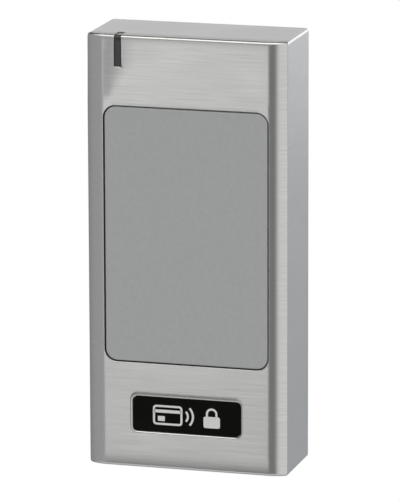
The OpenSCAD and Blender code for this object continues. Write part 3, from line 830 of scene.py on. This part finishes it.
settle(makeShell(shell), "front_case", "reader", "satin_metal", "satinMetal", angle=40)
print("case ready")


def windowPiece(p):
    # The panel with a softened front edge and its flange behind the front wall.
    x, low, high = panelFace(p)
    inner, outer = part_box("window_panel")
    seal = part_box("window_seal")[1].y
    edge, corner = p["panelEdge"] * mm, p["round"] * mm
    rings = []
    for i in range(7):
        b = math.pi / 2 * i / 6
        pull = edge * (1 - math.sin(b))
        loop = roundedLoop(-x + pull, low + pull, x - pull, high - pull, corner - pull, 12)
        rings.append(atDepth(loop, inner.y + edge * (1 - math.cos(b))))
    rings.append(atDepth(roundedLoop(-x, low, x, high, corner, 12), seal - 0.01 * mm))
    wide = roundedLoop(inner.x, inner.z, outer.x, outer.z, corner + p["flange"] * mm, 12)
    rings += [atDepth(wide, seal), atDepth(wide, outer.y)]
    return skin("windowPanel", rings)


settle(windowPiece(opening), "window_panel", "reader", "window_plastic", "windowPlastic")


def lensPiece(p, s):
    # The smoked bar that fills the slot and bends over the top edge. Its root stands behind the wall.
    w, h, reach = (v * mm for v in p["lens"])
    x = -halfWidth + p["inset"] * mm
    edge = p["lensEdge"] * mm
    back = frontY + reach - 0.05 * mm

    def outline(inward):
        sink, bend = p["lensSink"] * mm + inward, p["lensBend"] * mm - inward
        front, top = frontY + sink, topZ - sink
        path = [(front, topZ - h + (h - sink - bend) * k / 14) for k in range(14)]
        for k in range(9):
            a = math.pi / 2 * k / 8
            path.append((front + bend * (1 - math.cos(a)), top - bend * (1 - math.sin(a))))
        path += [(front + bend + (back - front - bend) * k / 3, top) for k in (1, 2, 3)]
        # it follows the case where that is rubbed back
        worn = []
        for y, z in path:
            worn.append((y + rubFront(s, x, z) * max(0.0, 1 - (y - front) / (2 * mm)), z - rubTop(s, y)))
        return worn + [(back, topZ - h)]

    rings = []
    for side in (-1, 1):
        row = []
        for k in range(5):
            a = math.pi / 2 * k / 4
            out = side * (w / 2 - edge * (1 - math.cos(a)))
            row.append([(x + out, y, z) for y, z in outline(edge * (1 - math.sin(a)))])
        rings += row if side < 0 else list(reversed(row))
    body = skin("lightPipe", rings)
    room = topZ - s["sideWall"] * mm
    wall = frontY + s["frontWall"] * mm
    behind, rear = frontY + reach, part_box("status_lens")[1].y
    beside, below = (v * mm for v in p["root"])
    root = brick("root", x - beside, wall, topZ - h - below, x + beside, behind, room - 0.1 * mm)
    beside, below = (v * mm for v in p["tail"])
    tail = brick("tail", x - beside, behind - 0.01 * mm, topZ - h - below, x + beside, rear, room - below)
    return boolean(body, [root, tail], "UNION")


settle(lensPiece(lightSlot, shell), "status_lens", "reader", "smoked_plastic", "smokedPlastic")

plate = {
    "edge": 0.16,
    "stroke": 0.5,           # line width of the printed signs
    "printLift": 0.012,
    "signWidth": 16.4,
    "signHeight": 4.8,
}


def strokePath(points, width, closed=False):
    # A flat band of even width along points in the plate's plane, as a list of faces.
    pts = [Vector(p) for p in points]
    n = len(pts)
    left, right = [], []
    for i, point in enumerate(pts):
        before = pts[i - 1] if (i or closed) else point
        after = pts[(i + 1) % n] if (i < n - 1 or closed) else point
        a, b = (point - before).normalized(), (after - point).normalized()
        a = a if a.length > 0 else b
        b = b if b.length > 0 else a
        run = (a + b).normalized()
        normal = Vector((-run.y, run.x))
        reach = width / 2 / max(0.5, normal.dot(Vector((-a.y, a.x))))
        left.append(point + normal * reach)
        right.append(point - normal * reach)
    faces = []
    for i in range(n if closed else n - 1):
        j = (i + 1) % n
        faces.append((left[i], right[i], right[j], left[j]))
    return faces


def arcPoints(cx, cz, r, start, stop, steps=16):
    turn = [math.radians(start + (stop - start) * i / steps) for i in range(steps + 1)]
    return [(cx + r * math.cos(a), cz + r * math.sin(a)) for a in turn]


def flatBox(x0, z0, x1, z1):
    return [Vector(v) for v in ((x0, z0), (x1, z0), (x1, z1), (x0, z1))]


def signs(p):
    # A card, two waves and a padlock, as flat faces in millimetres round the plate's middle.
    w, h, t = p["signWidth"], p["signHeight"], p["stroke"]
    faces = []
    # card with its chip and strip
    cw, ch = 7.2, h
    x0 = -w / 2
    card = roundedLoop(x0 + t / 2, -ch / 2 + t / 2, x0 + cw - t / 2, ch / 2 - t / 2, 0.6, 6)
    faces += strokePath(card, t, True)
    faces += [flatBox(x0 + 0.3, 0.55, x0 + cw - 0.3, 1.3), flatBox(x0 + 1.2, -1.45, x0 + 2.9, -0.25)]
    # two waves
    wx = x0 + cw - 0.4
    for r in (1.7, 2.95):
        faces += strokePath(arcPoints(wx, 0, r, -44, 44), t)
    # padlock
    lx = w / 2 - 2.1
    faces.append([Vector(v) for v in roundedLoop(lx - 2.0, -ch / 2, lx + 2.0, 0.35, 0.5, 6)])
    faces += strokePath([(lx - 1.15, 0.3)] + arcPoints(lx, 1.0, 1.15, 180, 0) + [(lx + 1.15, 0.3)], t)
    return faces


def platePiece(p, pocket):
    low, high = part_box("name_plate")
    edge, corner = p["edge"] * mm, pocket["round"] * mm
    rings = []
    for i in range(6):
        b = math.pi / 2 * i / 5
        pull = edge * (1 - math.sin(b))
        loop = roundedLoop(low.x + pull, low.z + pull, high.x - pull, high.z - pull, corner - pull, 10)
        rings.append(atDepth(loop, low.y + edge * (1 - math.cos(b))))
    rings.append(atDepth(roundedLoop(low.x, low.z, high.x, high.z, corner, 10), high.y))
    body = skin("namePlate", rings)
    centre = ((low.x + high.x) / 2, (low.z + high.z) / 2)
    mesh = bmesh.new()
    mesh.from_mesh(body.data)
    lift = p["printLift"] * mm
    for face in signs(p):
        spots = [(centre[0] + v.x * mm, centre[1] + v.y * mm) for v in face]
        front = [mesh.verts.new((x, low.y - lift, z)) for x, z in spots]
        back = [mesh.verts.new((x, low.y + lift, z)) for x, z in spots]
        n = len(front)
        made = [mesh.faces.new(front), mesh.faces.new(list(reversed(back)))]
        for i in range(n):
            made.append(mesh.faces.new((front[i], back[i], back[(i + 1) % n], front[(i + 1) % n])))
        for f in made:
            f.material_index = 1
        bmesh.ops.recalc_face_normals(mesh, faces=made)
    mesh.to_mesh(body.data)
    mesh.free()
    return body


namePlate = platePiece(plate, platePocket)
smooth(namePlate)
for finish in ("blackPlate", "whitePrint"):
    namePlate.data.materials.append(finishes[finish])
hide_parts("name_plate")
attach(namePlate, "reader")
print("front pieces ready")

looseLooks = {
    "platedSteel": dict(color=(0.60, 0.62, 0.64), rough=(0.30, 0.48),
                        mottle=(3.5, 0.08), grain=(0.35, 0.0025), metal=1.0),
    "blackPlastic": dict(color=(0.016, 0.016, 0.017), rough=(0.42, 0.56),
                         mottle=(6, 0.12), grain=(0.2, 0.006)),
    "grommetRubber": dict(color=(0.011, 0.011, 0.011), rough=(0.62, 0.80),
                          mottle=(1.6, 0.2), grain=(0.14, 0.004)),
    "nylon": dict(color=(0.74, 0.72, 0.66), rough=(0.36, 0.46),
                  mottle=(2.2, 0.03), grain=(0.5, 0.002),
                  **{"Subsurface Weight": 0.15, "Subsurface Scale": 0.002}),
    "springSteel": dict(color=(0.50, 0.50, 0.50), rough=(0.20, 0.34),
                        mottle=(0.8, 0.1), grain=(0.08, 0.0008), metal=1.0),
    "screwSteel": dict(color=(0.56, 0.55, 0.53), rough=(0.24, 0.40),
                       mottle=(0.9, 0.1), grain=(0.07, 0.0008), metal=1.0),
    "chipPlastic": dict(color=(0.020, 0.020, 0.022), rough=(0.48, 0.60),
                        mottle=(1.2, 0.15), grain=(0.07, 0.0016)),
    "tinned": dict(color=(0.70, 0.69, 0.66), rough=(0.25, 0.42),
                   mottle=(0.5, 0.07), grain=(0.1, 0.0015), metal=1.0),
    "goldPins": dict(color=(0.78, 0.56, 0.24), rough=(0.22, 0.34),
                     mottle=(0.5, 0.05), grain=(0.1, 0.0008), metal=1.0),
    "brightCan": dict(color=(0.74, 0.74, 0.73), rough=(0.22, 0.34),
                      mottle=(1.2, 0.04), grain=(0.12, 0.0008), metal=1.0),
    "ceramic": dict(color=(0.34, 0.27, 0.19), rough=(0.40, 0.52),
                    mottle=(0.4, 0.12), grain=(0.06, 0.001)),
    "ferriteGrey": dict(color=(0.050, 0.052, 0.055), rough=(0.50, 0.68),
                        mottle=(2.5, 0.18), grain=(0.1, 0.002)),
    "copperWire": dict(color=(0.66, 0.27, 0.10), rough=(0.20, 0.32),
                       mottle=(1.4, 0.12), grain=(0.2, 0.0008), metal=1.0,
                       **{"Coat Weight": 0.5, "Coat Roughness": 0.12}),
    "tape": dict(color=(0.68, 0.66, 0.60), rough=(0.55, 0.70),
                 mottle=(3.0, 0.04), grain=(0.25, 0.003)),
    "ivoryPlastic": dict(color=(0.78, 0.75, 0.66), rough=(0.38, 0.50),
                         mottle=(3.0, 0.03), grain=(0.25, 0.0015)),
    "redResin": dict(color=(0.62, 0.04, 0.03), rough=(0.14, 0.24),
                     mottle=(0.5, 0.1), grain=(0.3, 0.001)),
    "greenResin": dict(color=(0.06, 0.48, 0.12), rough=(0.14, 0.24),
                       mottle=(0.5, 0.1), grain=(0.3, 0.001)),
    "amberResin": dict(color=(0.72, 0.42, 0.04), rough=(0.14, 0.24),
                       mottle=(0.5, 0.1), grain=(0.3, 0.001)),
}
finishes.update({name: plainFinish(name, **look) for name, look in looseLooks.items()})

boardLook = {
    "mask": (0.012, 0.090, 0.038),
    "trace": (0.030, 0.165, 0.070),
    "pitch": 1.9,            # spacing of the copper runs, mm
    "runWidth": 0.34,
    "runHeight": 0.012,
    "viaSpacing": 3.1,
}


def boardLaminate(name, s):
    # Solder mask over copper: runs that step between two levels, and small plated holes.
    material, tree, shader = startFinish(name)
    where = place(tree)
    parts = addNode(tree, "ShaderNodeSeparateXYZ")
    tree.links.new(where, parts.inputs[0])
    x, y, z = parts.outputs
    patch = addNode(tree, "ShaderNodeTexVoronoi", feature="F1", distance="CHEBYCHEV")
    tree.links.new(where, patch.inputs["Vector"])
    patch.inputs["Scale"].default_value = 1 / 9.0
    split = addNode(tree, "ShaderNodeSeparateColor")
    tree.links.new(patch.outputs["Color"], split.inputs[0])
    level = calc(tree, "GREATER_THAN", split.outputs[0], 0.5)
    along = calc(tree, "ADD", calc(tree, "MULTIPLY", x, level),
                  calc(tree, "MULTIPLY", z, calc(tree, "SUBTRACT", 1.0, level)))
    phase = calc(tree, "PINGPONG", along, s["pitch"] / 2)
    run = remap(tree, phase, s["runWidth"] / 2, s["runWidth"] / 2 + 0.06, 1.0, 0.0)
    kept = calc(tree, "GREATER_THAN", split.outputs[1], 0.35)
    run = calc(tree, "MULTIPLY", run, kept)
    dots = addNode(tree, "ShaderNodeTexVoronoi", feature="F1")
    tree.links.new(where, dots.inputs["Vector"])
    dots.inputs["Scale"].default_value = 1 / s["viaSpacing"]
    via = remap(tree, dots.outputs["Distance"], 0.10, 0.12, 1.0, 0.0)
    patches = remap(tree, cloud(tree, where, 6.0), 0.3, 0.7)
    tone = blendColor(tree, patches, shade(s["mask"], 0.9), shade(s["mask"], 1.1))
    tone = blendColor(tree, run, tone, (*s["trace"], 1))
    tree.links.new(blendColor(tree, via, tone, (0.62, 0.50, 0.26, 1)), shader.inputs["Base Color"])
    tree.links.new(remap(tree, run, 0.0, 1.0, 0.32, 0.26, way="LINEAR"), shader.inputs["Roughness"])
    tree.links.new(relief(tree, run, s["runHeight"]), shader.inputs["Normal"])
    return material


finishes["boardLaminate"] = boardLaminate("boardLaminate", boardLook)
print("loose finishes ready")


def softened(node, name, width, rows=2, angle=35):
    # A copy of a CAD part whose sharp edges are broken by width millimetres.
    mesh = bmesh.new()
    mesh.from_mesh(nodes[node].data)
    bmesh.ops.remove_doubles(mesh, verts=mesh.verts, dist=0.002 * mm)
    bmesh.ops.dissolve_limit(mesh, angle_limit=math.radians(0.8), verts=mesh.verts, edges=mesh.edges)
    sharp = [e for e in mesh.edges if len(e.link_faces) == 2 and e.calc_face_angle() > math.radians(angle)]
    bmesh.ops.bevel(mesh, geom=sharp, offset=width * mm, segments=rows, profile=0.5, affect="EDGES",
                    clamp_overlap=True)
    bmesh.ops.remove_doubles(mesh, verts=mesh.verts, dist=0.0005 * mm)
    data = bpy.data.meshes.new(name)
    mesh.to_mesh(data)
    mesh.free()
    return link(name, data)


def softPiece(node, name, width, body, slotName, finish, rows=2):
    # A CAD part that needs no more than broken edges and its finish.
    settle(softened(node, name, width, rows), node, body, slotName, finish)


def dress(piece, choose):
    # Gives each face the finish whose number choose(centre, normal) returns.
    for face in piece.data.polygons:
        face.material_index = choose(face.center, face.normal)
    return piece


def islands(node):
    # Low and high corners of each separate solid in a CAD part.
    mesh = bmesh.new()
    mesh.from_mesh(nodes[node].data)
    bmesh.ops.remove_doubles(mesh, verts=mesh.verts, dist=0.002 * mm)
    left, boxes = set(mesh.verts), []
    while left:
        seen, edge = set(), [left.pop()]
        while edge:
            v = edge.pop()
            seen.add(v)
            near = {e.other_vert(v) for e in v.link_edges} - seen
            edge += near
            seen |= near
        left -= seen
        low = Vector([min(v.co[i] for v in seen) for i in range(3)])
        boxes.append((low, Vector([max(v.co[i] for v in seen) for i in range(3)])))
    mesh.free()
    return sorted(boxes, key=lambda b: (round(b[0].z, 5), round(b[0].x, 5)))


def threadCutter(x, y, z, axis, start, stop, radius, pitch, depth, steps=20):
    # A helical V groove round a shank that runs along axis from start to stop, fading in at both ends.
    length = abs(stop - start)
    turns = length / pitch
    count = int(turns * steps)
    way = 1 if stop > start else -1
    rings = []
    for i in range(count + 1):
        a = 2 * math.pi * i / steps
        t = i / steps
        sunk = depth * min(1.0, t / 0.6, (turns - t) / 0.6)
        along = start + way * length * i / count
        ring = []
        for out, shift in ((0.12 * mm, -0.62), (0.12 * mm, 0.62), (-sunk, 0.06), (-sunk, -0.06)):
            r, p = radius + out, along + shift * pitch * 0.72
            u, v = r * math.cos(a), r * math.sin(a)
            ring.append((x + u, p, z + v) if axis == "y" else (x + u, y + v, p))
        rings.append(ring)
    return skin("thread", rings)


softPiece("wall_plate", "wallPlate", 0.22, "wall_mount", "plated_steel", "platedSteel")

coverSizes = {
    "edge": 0.3,
    "screwHead": 1.2,        # the screws' heads stand this proud of the cover's back
    "field": (26.0, 15.0, 1.5),  # the sunk field's width, height and corner
    "fieldUp": 33.0,         # its middle above the reader's middle
    "fieldDepth": 0.25,
    "ribs": (-9.0, -3.0, 3.0),
    "ribUp": 8.0,            # from the cover's bottom edge
    "ribLength": 20.0,
    "ribHeight": 0.4,
    "ribWidth": 0.9,
}


def coverPiece(p):
    # The moulded cover with a sunk field near its top and three low ribs beside the plunger's guide.
    body = softened("rear_cover", "rearCover", p["edge"])
    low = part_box("rear_cover")[0]
    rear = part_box("cover_screws")[1].y - p["screwHead"] * mm
    wide, tall, radius = (v * mm for v in p["field"])
    z = (topZ + bottomZ) / 2 + p["fieldUp"] * mm
    left, bottom, top, flare = -wide / 2, z - tall / 2, z + tall / 2, 0.2 * mm
    loop = roundedLoop(left, bottom, -left, top, radius)
    outer = roundedLoop(left - flare, bottom - flare, flare - left, top + flare, radius + flare)
    deep = p["fieldDepth"] * mm
    body = boolean(body, [skin("field", [atDepth(loop, rear - deep), atDepth(loop, rear - deep * 0.4),
                                         atDepth(outer, rear + 0.01 * mm), atDepth(outer, rear + 1 * mm)])])
    half, top = p["ribWidth"] * mm / 2, rear + p["ribHeight"] * mm
    ribs = []
    for x in p["ribs"]:
        x, z0, z1 = x * mm, low.z + p["ribUp"] * mm, low.z + (p["ribUp"] + p["ribLength"]) * mm
        foot = roundedLoop(x - half, z0, x + half, z1, half * 0.98)
        crown = roundedLoop(x - half * 0.7, z0 + half * 0.3, x + half * 0.7, z1 - half * 0.3, half * 0.68)
        rings = [atDepth(foot, rear - 0.1 * mm), atDepth(foot, top - 0.12 * mm), atDepth(crown, top)]
        ribs.append(skin("rib", rings))
    return boolean(body, ribs, "UNION")


settle(coverPiece(coverSizes), "rear_cover", "reader", "black_plastic", "blackPlastic")
softPiece("cable_grommet", "cableGrommet", 0.18, "reader", "seal_rubber", "grommetRubber", 3)
softPiece("cover_gasket", "coverGasket", 0.12, "reader", "seal_rubber", "sealRubber")
softPiece("window_seal", "windowSeal", 0.08, "reader", "seal_rubber", "sealRubber")
print("wall plate and cover ready")

screwSizes = {"edge": 0.1, "radius": 1.0, "pitch": 0.45, "depth": 0.2, "headHeight": 1.2, "neck": 0.8}


def smallScrews(node, name, p):
    # Pan-head screws with cut threads.
    body = softened(node, name, p["edge"])
    cutters = []
    for low, high in islands(node):
        x, z = (low.x + high.x) / 2, (low.z + high.z) / 2
        seat = high.y - p["headHeight"] * mm
        cutters.append(threadCutter(x, 0, z, "y", seat - p["neck"] * mm, low.y + 0.3 * mm,
                                    p["radius"] * mm, p["pitch"] * mm, p["depth"] * mm))
    return boolean(body, cutters)


for node, name in (("cover_screws", "coverScrews"), ("board_screws", "boardScrews")):
    settle(smallScrews(node, name, screwSizes), node, "reader", "screw_steel", "screwSteel")

lockSizes = {"edge": 0.14, "radius": 1.5, "pitch": 0.5, "depth": 0.24, "head": 1.9, "neck": 2.4}


def lockScrewPiece(p):
    # The security screw: a plain neck under the head, then a cut thread to the tip.
    body = softened("lock_screw", "lockScrew", p["edge"], 3)
    low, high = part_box("lock_screw")
    start = low.z + (p["head"] + p["neck"]) * mm
    cutter = threadCutter(0, (low.y + high.y) / 2, 0, "z", start, high.z - 0.3 * mm,
                          p["radius"] * mm, p["pitch"] * mm, p["depth"] * mm, 24)
    return boolean(body, [cutter])


settle(lockScrewPiece(lockSizes), "lock_screw", "security_screw", "screw_steel", "screwSteel")
softPiece("screw_retainer", "screwRetainer", 0.12, "retainer", "nylon", "nylon", 3)


plungerSizes = {"edge": 0.15, "rimFrom": 2.0, "relief": 0.04}


def plungerPiece(p):
    # The nylon plunger. The flange's rim, from rimFrom outwards, is a hair thinner.
    body = softened("tamper_plunger", "tamperPlunger", p["edge"], 3)
    low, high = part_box("tamper_plunger")
    x, z = (low.x + high.x) / 2, (low.z + high.z) / 2
    for v in body.data.vertices:
        if v.co.y > low.y + 0.4 * mm and math.hypot(v.co.x - x, v.co.z - z) > p["rimFrom"] * mm:
            v.co.y -= p["relief"] * mm
    return body


settle(plungerPiece(plungerSizes), "tamper_plunger", "plunger", "nylon", "nylon")
print("screws, retainer and plunger ready")

coilSizes = {"wire": 0.30, "winding": 2.7, "corner": 3.4}


def coilPiece(p):
    # The winding's outside shows its turns: a scalloped section carried round the carrier.
    low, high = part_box("antenna_coil")
    thick, wide = high.y - low.y, p["winding"] * mm
    rows, layers = round(thick / (p["wire"] * mm)), round(wide / (p["wire"] * mm))
    section = []

    def scallops(count, walk):
        for i in range(count):
            for k in range(5):
                a = math.pi * k / 5
                walk((i + 0.5 - 0.5 * math.cos(a)) / count, p["wire"] * mm * 0.5 * (1 - math.sin(a)))

    scallops(layers, lambda t, sunk: section.append((wide * t, low.y + sunk)))
    scallops(rows, lambda t, sunk: section.append((wide - sunk, low.y + thick * t)))
    scallops(layers, lambda t, sunk: section.append((wide * (1 - t), high.y - sunk)))
    scallops(rows, lambda t, sunk: section.append((sunk, high.y - thick * t)))
    rings = []
    for inward, y in section + section[:1]:
        radius = max(0.3 * mm, p["corner"] * mm - inward)
        loop = roundedLoop(low.x + inward, low.z + inward, high.x - inward, high.z - inward, radius, 6)
        rings.append(atDepth(loop, y))
    body = skin("antennaCoil", rings, (False, False))
    mesh = bmesh.new()
    mesh.from_mesh(body.data)
    bmesh.ops.remove_doubles(mesh, verts=mesh.verts, dist=0.001 * mm)
    bmesh.ops.recalc_face_normals(mesh, faces=mesh.faces)
    mesh.to_mesh(body.data)
    mesh.free()
    return body


settle(coilPiece(coilSizes), "antenna_coil", "reader", "copper_wire", "copperWire", angle=60)
softPiece("coil_carrier", "coilCarrier", 0.12, "reader", "ivory_plastic", "ivoryPlastic")
softPiece("ferrite_sheet", "ferriteSheet", 0.06, "reader", "ferrite", "ferriteGrey")
softPiece("coil_pins", "coilPins", 0.1, "reader", "tinned_pins", "tinned")
softPiece("circuit_board", "circuitBoard", 0.06, "reader", "board_laminate", "boardLaminate")
print("antenna and board ready")

chipSizes = {"edge": 0.08, "leadReach": 0.6, "mark": 0.45, "markDepth": 0.06}


def chipPiece(node, name, p, allRound):
    # A moulded chip with a round mark by its first pin. Its leads have the second finish's number.
    low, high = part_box(node)
    reach = p["leadReach"] * mm
    x0, x1 = low.x + reach, high.x - reach
    z0, z1 = (low.z + reach, high.z - reach) if allRound else (low.z, high.z)
    body = softened(node, name, p["edge"])
    profile = [(p["mark"] * mm * 0.8, high.y - p["markDepth"] * mm), (p["mark"] * mm, high.y + 0.2 * mm)]
    body = boolean(body, [turnedY("mark", x0 + 1.0 * mm, z1 - 1.0 * mm, profile, 24)])
    inside = lambda c: x0 - 0.02 * mm < c.x < x1 + 0.02 * mm and z0 - 0.02 * mm < c.z < z1 + 0.02 * mm
    return dress(body, lambda c, n: 0 if inside(c) else 1)


for node, name, allRound in (("microcontroller", "controllerChip", True),
                             ("reader_chip", "readerChip", False)):
    chip = chipPiece(node, name, chipSizes, allRound)
    settle(chip, node, "reader", "chip_plastic", "chipPlastic", "tinned")


def powerChips(node, name, leadTop):
    # Small parts whose leads lie flat on the board, and are numbered for the second finish.
    body = softened(node, name, 0.08)
    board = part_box("circuit_board")[1].y
    return dress(body, lambda c, n: 0 if c.y > board + leadTop * mm else 1)


for node, name, leadTop in (("voltage_regulator", "voltageRegulator", 0.52),
                            ("protection_diodes", "protectionDiodes", 0.32)):
    settle(powerChips(node, name, leadTop), node, "reader", "chip_plastic", "chipPlastic", "tinned")

canSizes = {"edge": 0.12, "base": 0.72, "vent": (1.6, 0.06), "ventDepth": 0.08}


def canPiece(p):
    # Aluminium cans with a star of three scored lines as the vent in each top.
    body = softened("electrolytic_capacitors", "capacitorCans", p["edge"])
    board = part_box("circuit_board")[1].y
    z = sum(v.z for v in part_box("electrolytic_capacitors")) / 2
    reach, half = (v * mm for v in p["vent"])
    cutters = []
    for low, high in islands("electrolytic_capacitors"):
        x, top = (low.x + high.x) / 2, high.y
        for turn in (30, 90, 150):
            ux, uz = math.cos(math.radians(turn)), math.sin(math.radians(turn))
            ring = [(x + ux * s * reach - uz * t * half, z + uz * s * reach + ux * t * half)
                    for s, t in ((-1, -1), (1, -1), (1, 1), (-1, 1))]
            cutters.append(prism("vent", ring, top - p["ventDepth"] * mm, top + 0.3 * mm))
    body = boolean(body, cutters)
    return dress(body, lambda c, n: 1 if c.y < board + p["base"] * mm else 0)


settle(canPiece(canSizes), "electrolytic_capacitors", "reader", "bright_can", "brightCan", "chipPlastic")
softPiece("crystal", "crystalCan", 0.3, "reader", "bright_can", "brightCan", 3)
softPiece("buzzer", "buzzerCan", 0.25, "reader", "black_plastic", "blackPlastic", 3)
softPiece("tamper_switch", "tamperSwitch", 0.12, "reader", "black_plastic", "blackPlastic")


headerSizes = {"edge": 0.1, "pitch": 2.0, "floor": 1.05, "pinHalf": 0.3}


def headerPiece(p):
    # The shrouded header. Its pins, in the middle row, are numbered for the second finish.
    body = softened("cable_header", "cableHeader", p["edge"])
    low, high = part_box("cable_header")
    z, floor, half = (low.z + high.z) / 2, low.y + p["floor"] * mm, p["pinHalf"]

    def choose(c, n):
        step = (c.x / mm) % p["pitch"] - p["pitch"] / 2
        return 1 if abs(c.z - z) < half * mm and c.y > floor and abs(step) < half else 0

    return dress(body, choose)


settle(headerPiece(headerSizes), "cable_header", "reader", "ivory_plastic", "ivoryPlastic", "goldPins")

passiveSizes = {"cap": 0.38, "proud": 0.03, "edge": 0.07}


def passivePieces(p):
    # Each chip resistor or capacitor: a middle, and two ends that stand a little proud of it.
    parts, ends = [], []
    for low, high in islands("chip_passives"):
        cap, rim = p["cap"] * mm, p["proud"] * mm
        parts.append(brick("middle", low.x + rim, low.y, low.z + cap,
                           high.x - rim, high.y - rim, high.z - cap))
        for z0, z1 in ((low.z, low.z + cap), (high.z - cap, high.z)):
            ends.append(brick("end", low.x, low.y, z0, high.x, high.y, z1))
    count = len(parts)
    body = joined("chipPassives", parts + ends)
    mesh = bmesh.new()
    mesh.from_mesh(body.data)
    mesh.faces.ensure_lookup_table()
    for face in mesh.faces:
        face.material_index = 0 if face.index < 6 * count else 1
    sharp = [e for e in mesh.edges if e.calc_face_angle(0) > 1]
    bmesh.ops.bevel(mesh, geom=sharp, offset=p["edge"] * mm, segments=2, profile=0.5, affect="EDGES",
                    clamp_overlap=True)
    mesh.to_mesh(body.data)
    mesh.free()
    return body


settle(passivePieces(passiveSizes), "chip_passives", "reader", "passive_ceramic", "ceramic", "tinned")


def ledPiece():
    # The three LEDs, numbered 0, 1 and 2 from the top down.
    body = softened("indicator_leds", "indicatorLeds", 0.1)
    boxes = islands("indicator_leds")

    def choose(c, n):
        row = [i for i, (low, high) in enumerate(boxes) if low.z - 0.1 * mm < c.z < high.z + 0.1 * mm]
        return 2 - row[0] if row else 0

    return dress(body, choose)


settle(ledPiece(), "indicator_leds", "reader", "led_resin", "redResin", "greenResin", "amberResin")

for node, finish in (("name_plate_tape", "tape"), ("tamper_spring", "springSteel")):
    kept = nodes[node]
    for held in kept.material_slots:
        held.material = finishes[finish]
    if not kept.material_slots:
        kept.data.materials.append(finishes[finish])
print("electronics ready")
